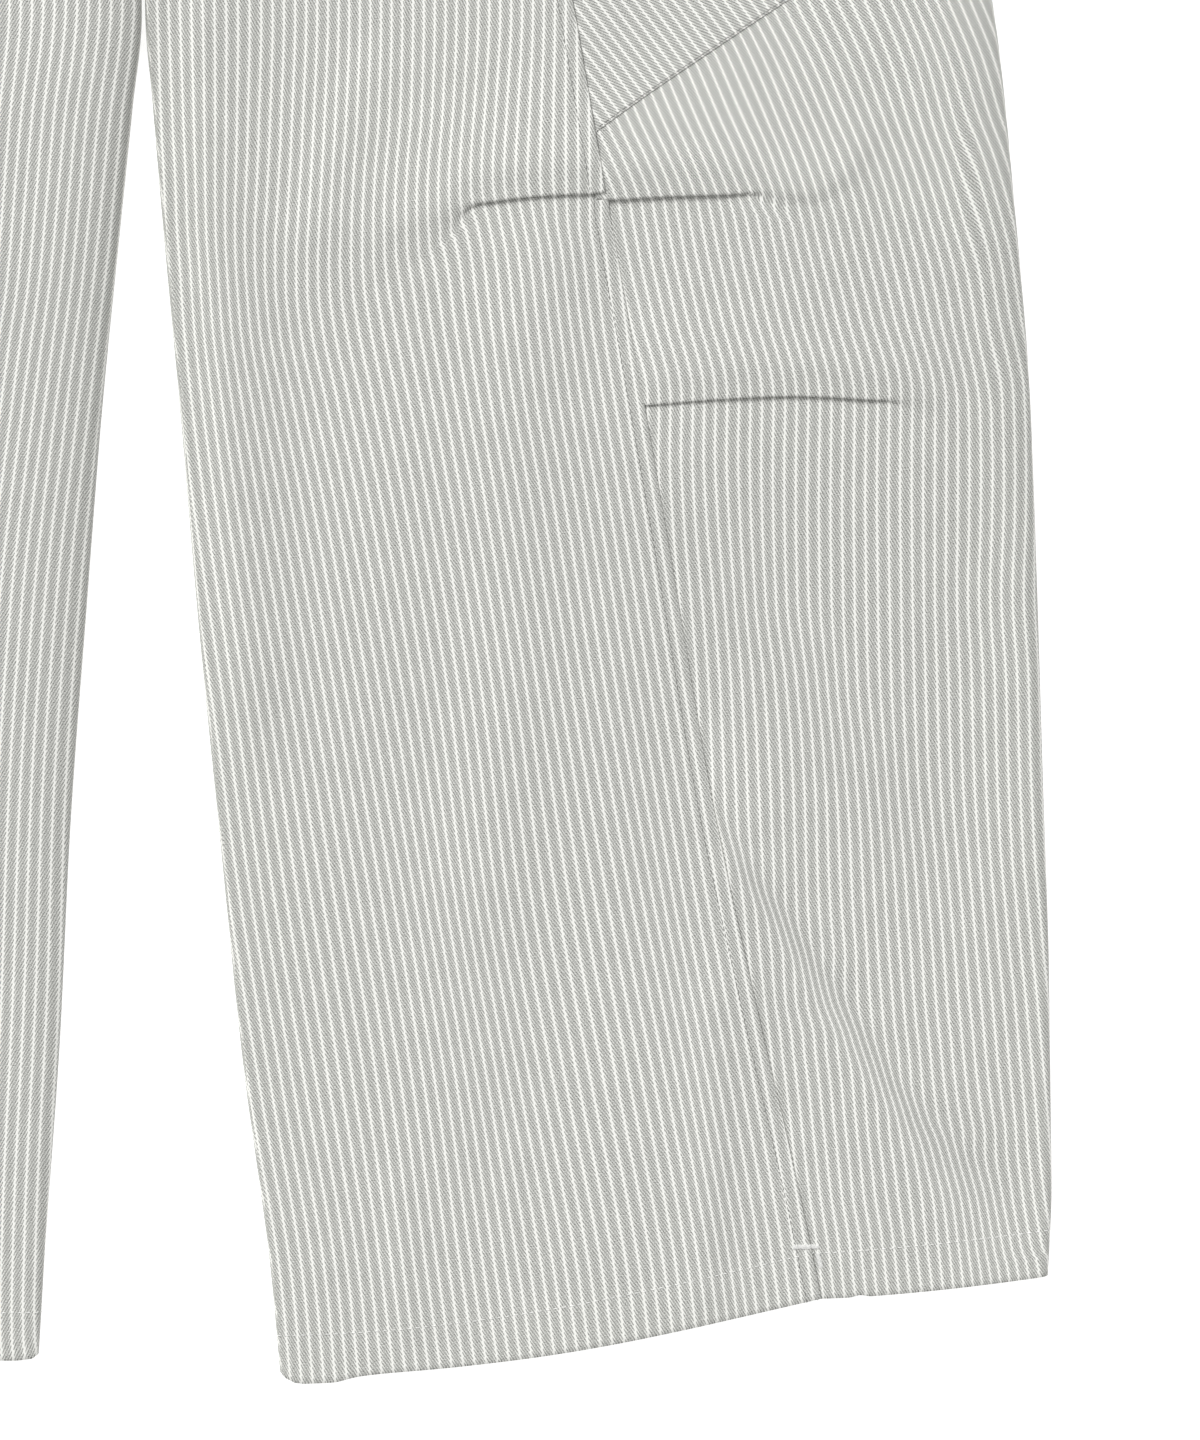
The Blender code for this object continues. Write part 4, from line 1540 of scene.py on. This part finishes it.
@dataclass
class Trousers:
    """All pieces of the garment."""

    front_cut: Cut = Cut(0.23, 0.93, 0.17)
    back_cut: Cut = Cut(0.56, 0.93, 0.434)
    pocket_cut: Cut = Cut(0.2, 0.18, 0.029)
    band_front_cut: Cut = Cut(0.125, 0.041, 0.005)
    band_back_cut: Cut = Cut(0.61, 0.044, 0.024)
    seam_inset: float = 6.5     # topstitching beside the side seam
    hem_inset: float = 18.8     # blind stitches above the hem
    tack_drop: float = 893.4    # bar tacks at the hem
    tack_span: tuple[float, float] = (264.5, 275.1)
    tack_step: float = 0.7
    fly_width: float = 36.0
    fly_bend: float = 196.0     # drop at which the fly's stitches turn towards the centre
    fly_depth: float = 44.0
    pocket_hem: float = 16.0
    pocket_edge: float = 1.5
    pieces: list[bpy.types.Object] = field(default_factory=list)
    finish: bpy.types.Material = field(init=False)
    grey: bpy.types.Material = field(init=False)
    white: bpy.types.Material = field(init=False)
    sewing: Sewing = field(init=False)

    def __post_init__(self) -> None:
        """Make the finishes and the stitch maker."""
        self.finish = StripedTwill().material()
        # The grey thread is darker than the real tonal grey-white thread. Its dark grey also paints the
        # shade in the needle holes along every stitch line.
        self.grey = SewingThread("grey thread with painted stitch shade", (0.22, 0.22, 0.21)).material()
        self.white = SewingThread("white thread", (0.92, 0.92, 0.9)).material()
        self.sewing = Sewing()

    def dress(self, piece: bpy.types.Object, slot: str, node: str | None = None) -> bpy.types.Object:
        """Bind a piece to the frame.

        Args:
            piece: The piece.
            slot: The record's slot that its finish comes from.
            node: The CAD node that it stands for, if any.

        Returns:
            slot: Not used.
        """
        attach(piece, "root")
        if node:
            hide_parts(node)
        self.pieces.append(piece)
        return piece

    def cloth(self, name: str, grid: Grid, slot: str, node: str, wall: float = CLOTH) -> bpy.types.Object:
        """Make a piece of twill and bind it to the frame."""
        return self.dress(Cloth.piece(name, grid, self.finish, wall), slot, node)

    def sew(self, name: str, lines: list[np.ndarray], kind: Stitch, slot: str, seed: int,
            thread: bpy.types.Material | None = None) -> bpy.types.Object:
        """Sew along lines, in grey thread where no other is given, and bind the stitches."""
        return self.dress(self.sewing.lay(name, lines, kind, thread or self.grey, seed), slot)

    def lay_down(self, cut: Cut) -> None:
        """Read the cut's length, and nothing more."""
        cut.length

    def fly_line(self, inset: float) -> list[tuple[float, float]]:
        """Set out one curved line of the fly's stitching.

        Args:
            inset: How far it lies inside the outer line.

        Returns:
            Its (across, drop) places.
        """
        side = self.fly_width - inset
        straight = [(side, drop) for drop in np.arange(PANEL_TOP + 9.0, self.fly_bend, 4.0)]
        bend = [(side * math.cos(a), self.fly_bend + (self.fly_depth - inset) * math.sin(a))
                for a in np.linspace(0.0, math.radians(86), 18)]
        return straight + bend

    def hem_tacks(self, front: Grid, back: Grid) -> list[np.ndarray]:
        """Set out the two bar tacks at the side seam above the hem.

        Args:
            front: The leg's front panel.
            back: Its back panel.

        Returns:
            Their lines, in the frame's metres.
        """
        seam = float(SECTION.read("seam", np.array(self.tack_drop)))
        level = [(x, self.tack_drop) for x in np.arange(*self.tack_span, self.tack_step)]
        upright = [(274.6 + 1.4 * t, self.tack_drop + 3.0 + 5.5 * t) for t in np.linspace(0, 1, 9)]
        over = np.vstack([front.settle([at for at in level if at[0] < seam], 0.12),
                          back.settle([at for at in level if at[0] >= seam], 0.12)])
        return [front.world(over), back.world(back.settle(upright, 0.12))]

    def build(self) -> None:
        """Build both legs, the waistband, the button and the sewing."""
        plan = RowPlan.make(hidden_step=5.0, shown_step=2.6, dart_rows=26)
        common = SHARED_FOLDS + HIDDEN_FOLDS
        legs = (
            LegForm(Side.LEFT, INNER_LEFT, inseam_angle=55.0, hem_slant=32.0, folds=common + LEFT_FOLDS,
                    hem_edge=HEM_LEFT),
            LegForm(Side.RIGHT, INNER_RIGHT, inseam_angle=0.0, hem_slant=21.0, folds=common,
                    hem_edge=HEM_RIGHT),
        )
        band = Waistband()
        strip = band.back(*legs)
        behind = self.cloth("back_band_cloth", strip, "waistband_twill", "waistband_back", band.wall)
        edges = [strip.world(strip.row_at(at, 0.1)) for at in (band.channel, -band.channel)]
        sewn = self.sew("back_band_stitches", edges, Stitch.TOPSTITCH, "waistband_twill", 2)
        self.lay_down(self.band_back_cut)
        for form in legs:
            self.leg(LegCloth(form, plan))
            self.front_band(band.front(form), band)

    def leg(self, cloth: LegCloth) -> None:
        """Build one leg's panels and pocket with their sewing.

        Args:
            cloth: The leg's cloth.
        """
        word = cloth.form.side.word
        front, back = cloth.front(), cloth.back()
        front_piece = self.cloth(f"{word}_front_cloth", cloth.turned_up(front), "panel_twill",
                                 f"{word}_front_panel")
        back_piece = self.cloth(f"{word}_back_cloth", cloth.turned_up(back), "panel_twill",
                                f"{word}_back_panel")
        pocket = CargoPocket(back, cloth.plan).grid(cloth.side_columns + len(SEAM_LAP))
        pocket_piece = self.cloth(f"{word}_pocket_cloth", pocket, "pocket_twill",
                                  f"{word}_cargo_pocket", POCKET_WALL)
        beside = front.world(front.column_at(-self.seam_inset, 0.05))
        sewn = [self.sew(f"{word}_seam_stitches", [beside], Stitch.TOPSTITCH, "panel_twill", 3)]
        hems = [grid.world(grid.row_at(-self.hem_inset, 0.04)) for grid in (front, back)]
        sewn.append(self.sew(f"{word}_hem_stitches", hems, Stitch.BLIND, "panel_twill", 4, self.white))
        tacks = self.hem_tacks(front, back)
        if cloth.form.side is Side.LEFT:
            for inset in (0, 6):
                line = front.world(front.settle(self.fly_line(inset), 0.08))
                sewn.append(self.sew(f"fly_stitches_{inset}", [line], Stitch.TOPSTITCH, "panel_twill", 5))
            foot = [(x, self.fly_bend + self.fly_depth) for x in np.arange(1.5, 12.0, 1.0)]
            tacks.append(front.world(front.settle(foot, 0.1)))
        sewn.append(self.sew(f"{word}_bar_tacks", tacks, Stitch.TACK, "panel_twill", 6, self.white))
        self.lay_down(self.back_cut)
        self.lay_down(self.front_cut)
        lines = [pocket.row_at(-1.3, 0.08), pocket.row_at(self.pocket_hem, 0.08),
                 pocket.column_at(-self.pocket_edge, 0.08)]
        hemmed = self.sew(f"{word}_pocket_stitches", [pocket.world(line) for line in lines],
                          Stitch.TOPSTITCH, "pocket_twill", 7)
        self.lay_down(self.pocket_cut)

    def front_band(self, grid: Grid, band: Waistband) -> None:
        """Build one front half of the waistband, and the button on the left one.

        Args:
            grid: The half's outer side.
            band: The waistband's sizes.
        """
        word, slot = grid.side.word, "waistband_twill"
        piece = self.cloth(f"{word}_band_cloth", grid, slot, f"{word}_waistband", band.wall)
        lines = [grid.world(grid.row_at(at, 0.1)) for at in (band.channel, -band.channel)]
        lines.append(grid.world(grid.column_at(band.channel, 0.1)))
        sewn = [self.sew(f"{word}_band_stitches", lines, Stitch.TOPSTITCH, slot, 8)]
        if grid.side is Side.LEFT:
            button = WaistButton()
            made = self.dress(button.build(grid, Resin().material()), "button_resin", "waist_button")
            hole = [grid.world(grid.settle(line, 0.06)) for line in button.slit()]
            sewn.append(self.sew("buttonhole_stitches", hole, Stitch.TACK, slot, 9))
            sewn.append(self.sew("button_threads", button.threads(grid), Stitch.WRAPPED, slot, 10))
            sewn.append(made)
        self.lay_down(self.band_front_cut)


def main() -> None:
    """Build the trousers and the studio, and report each piece."""
    logging.basicConfig(level=logging.INFO, format="%(message)s")
    trousers = Trousers()
    trousers.build()
    for piece in trousers.pieces:
        LOG.info("built %s, %d faces", piece.name, len(piece.data.polygons))
    Studio().build()


if __name__ == "__main__":
    main()
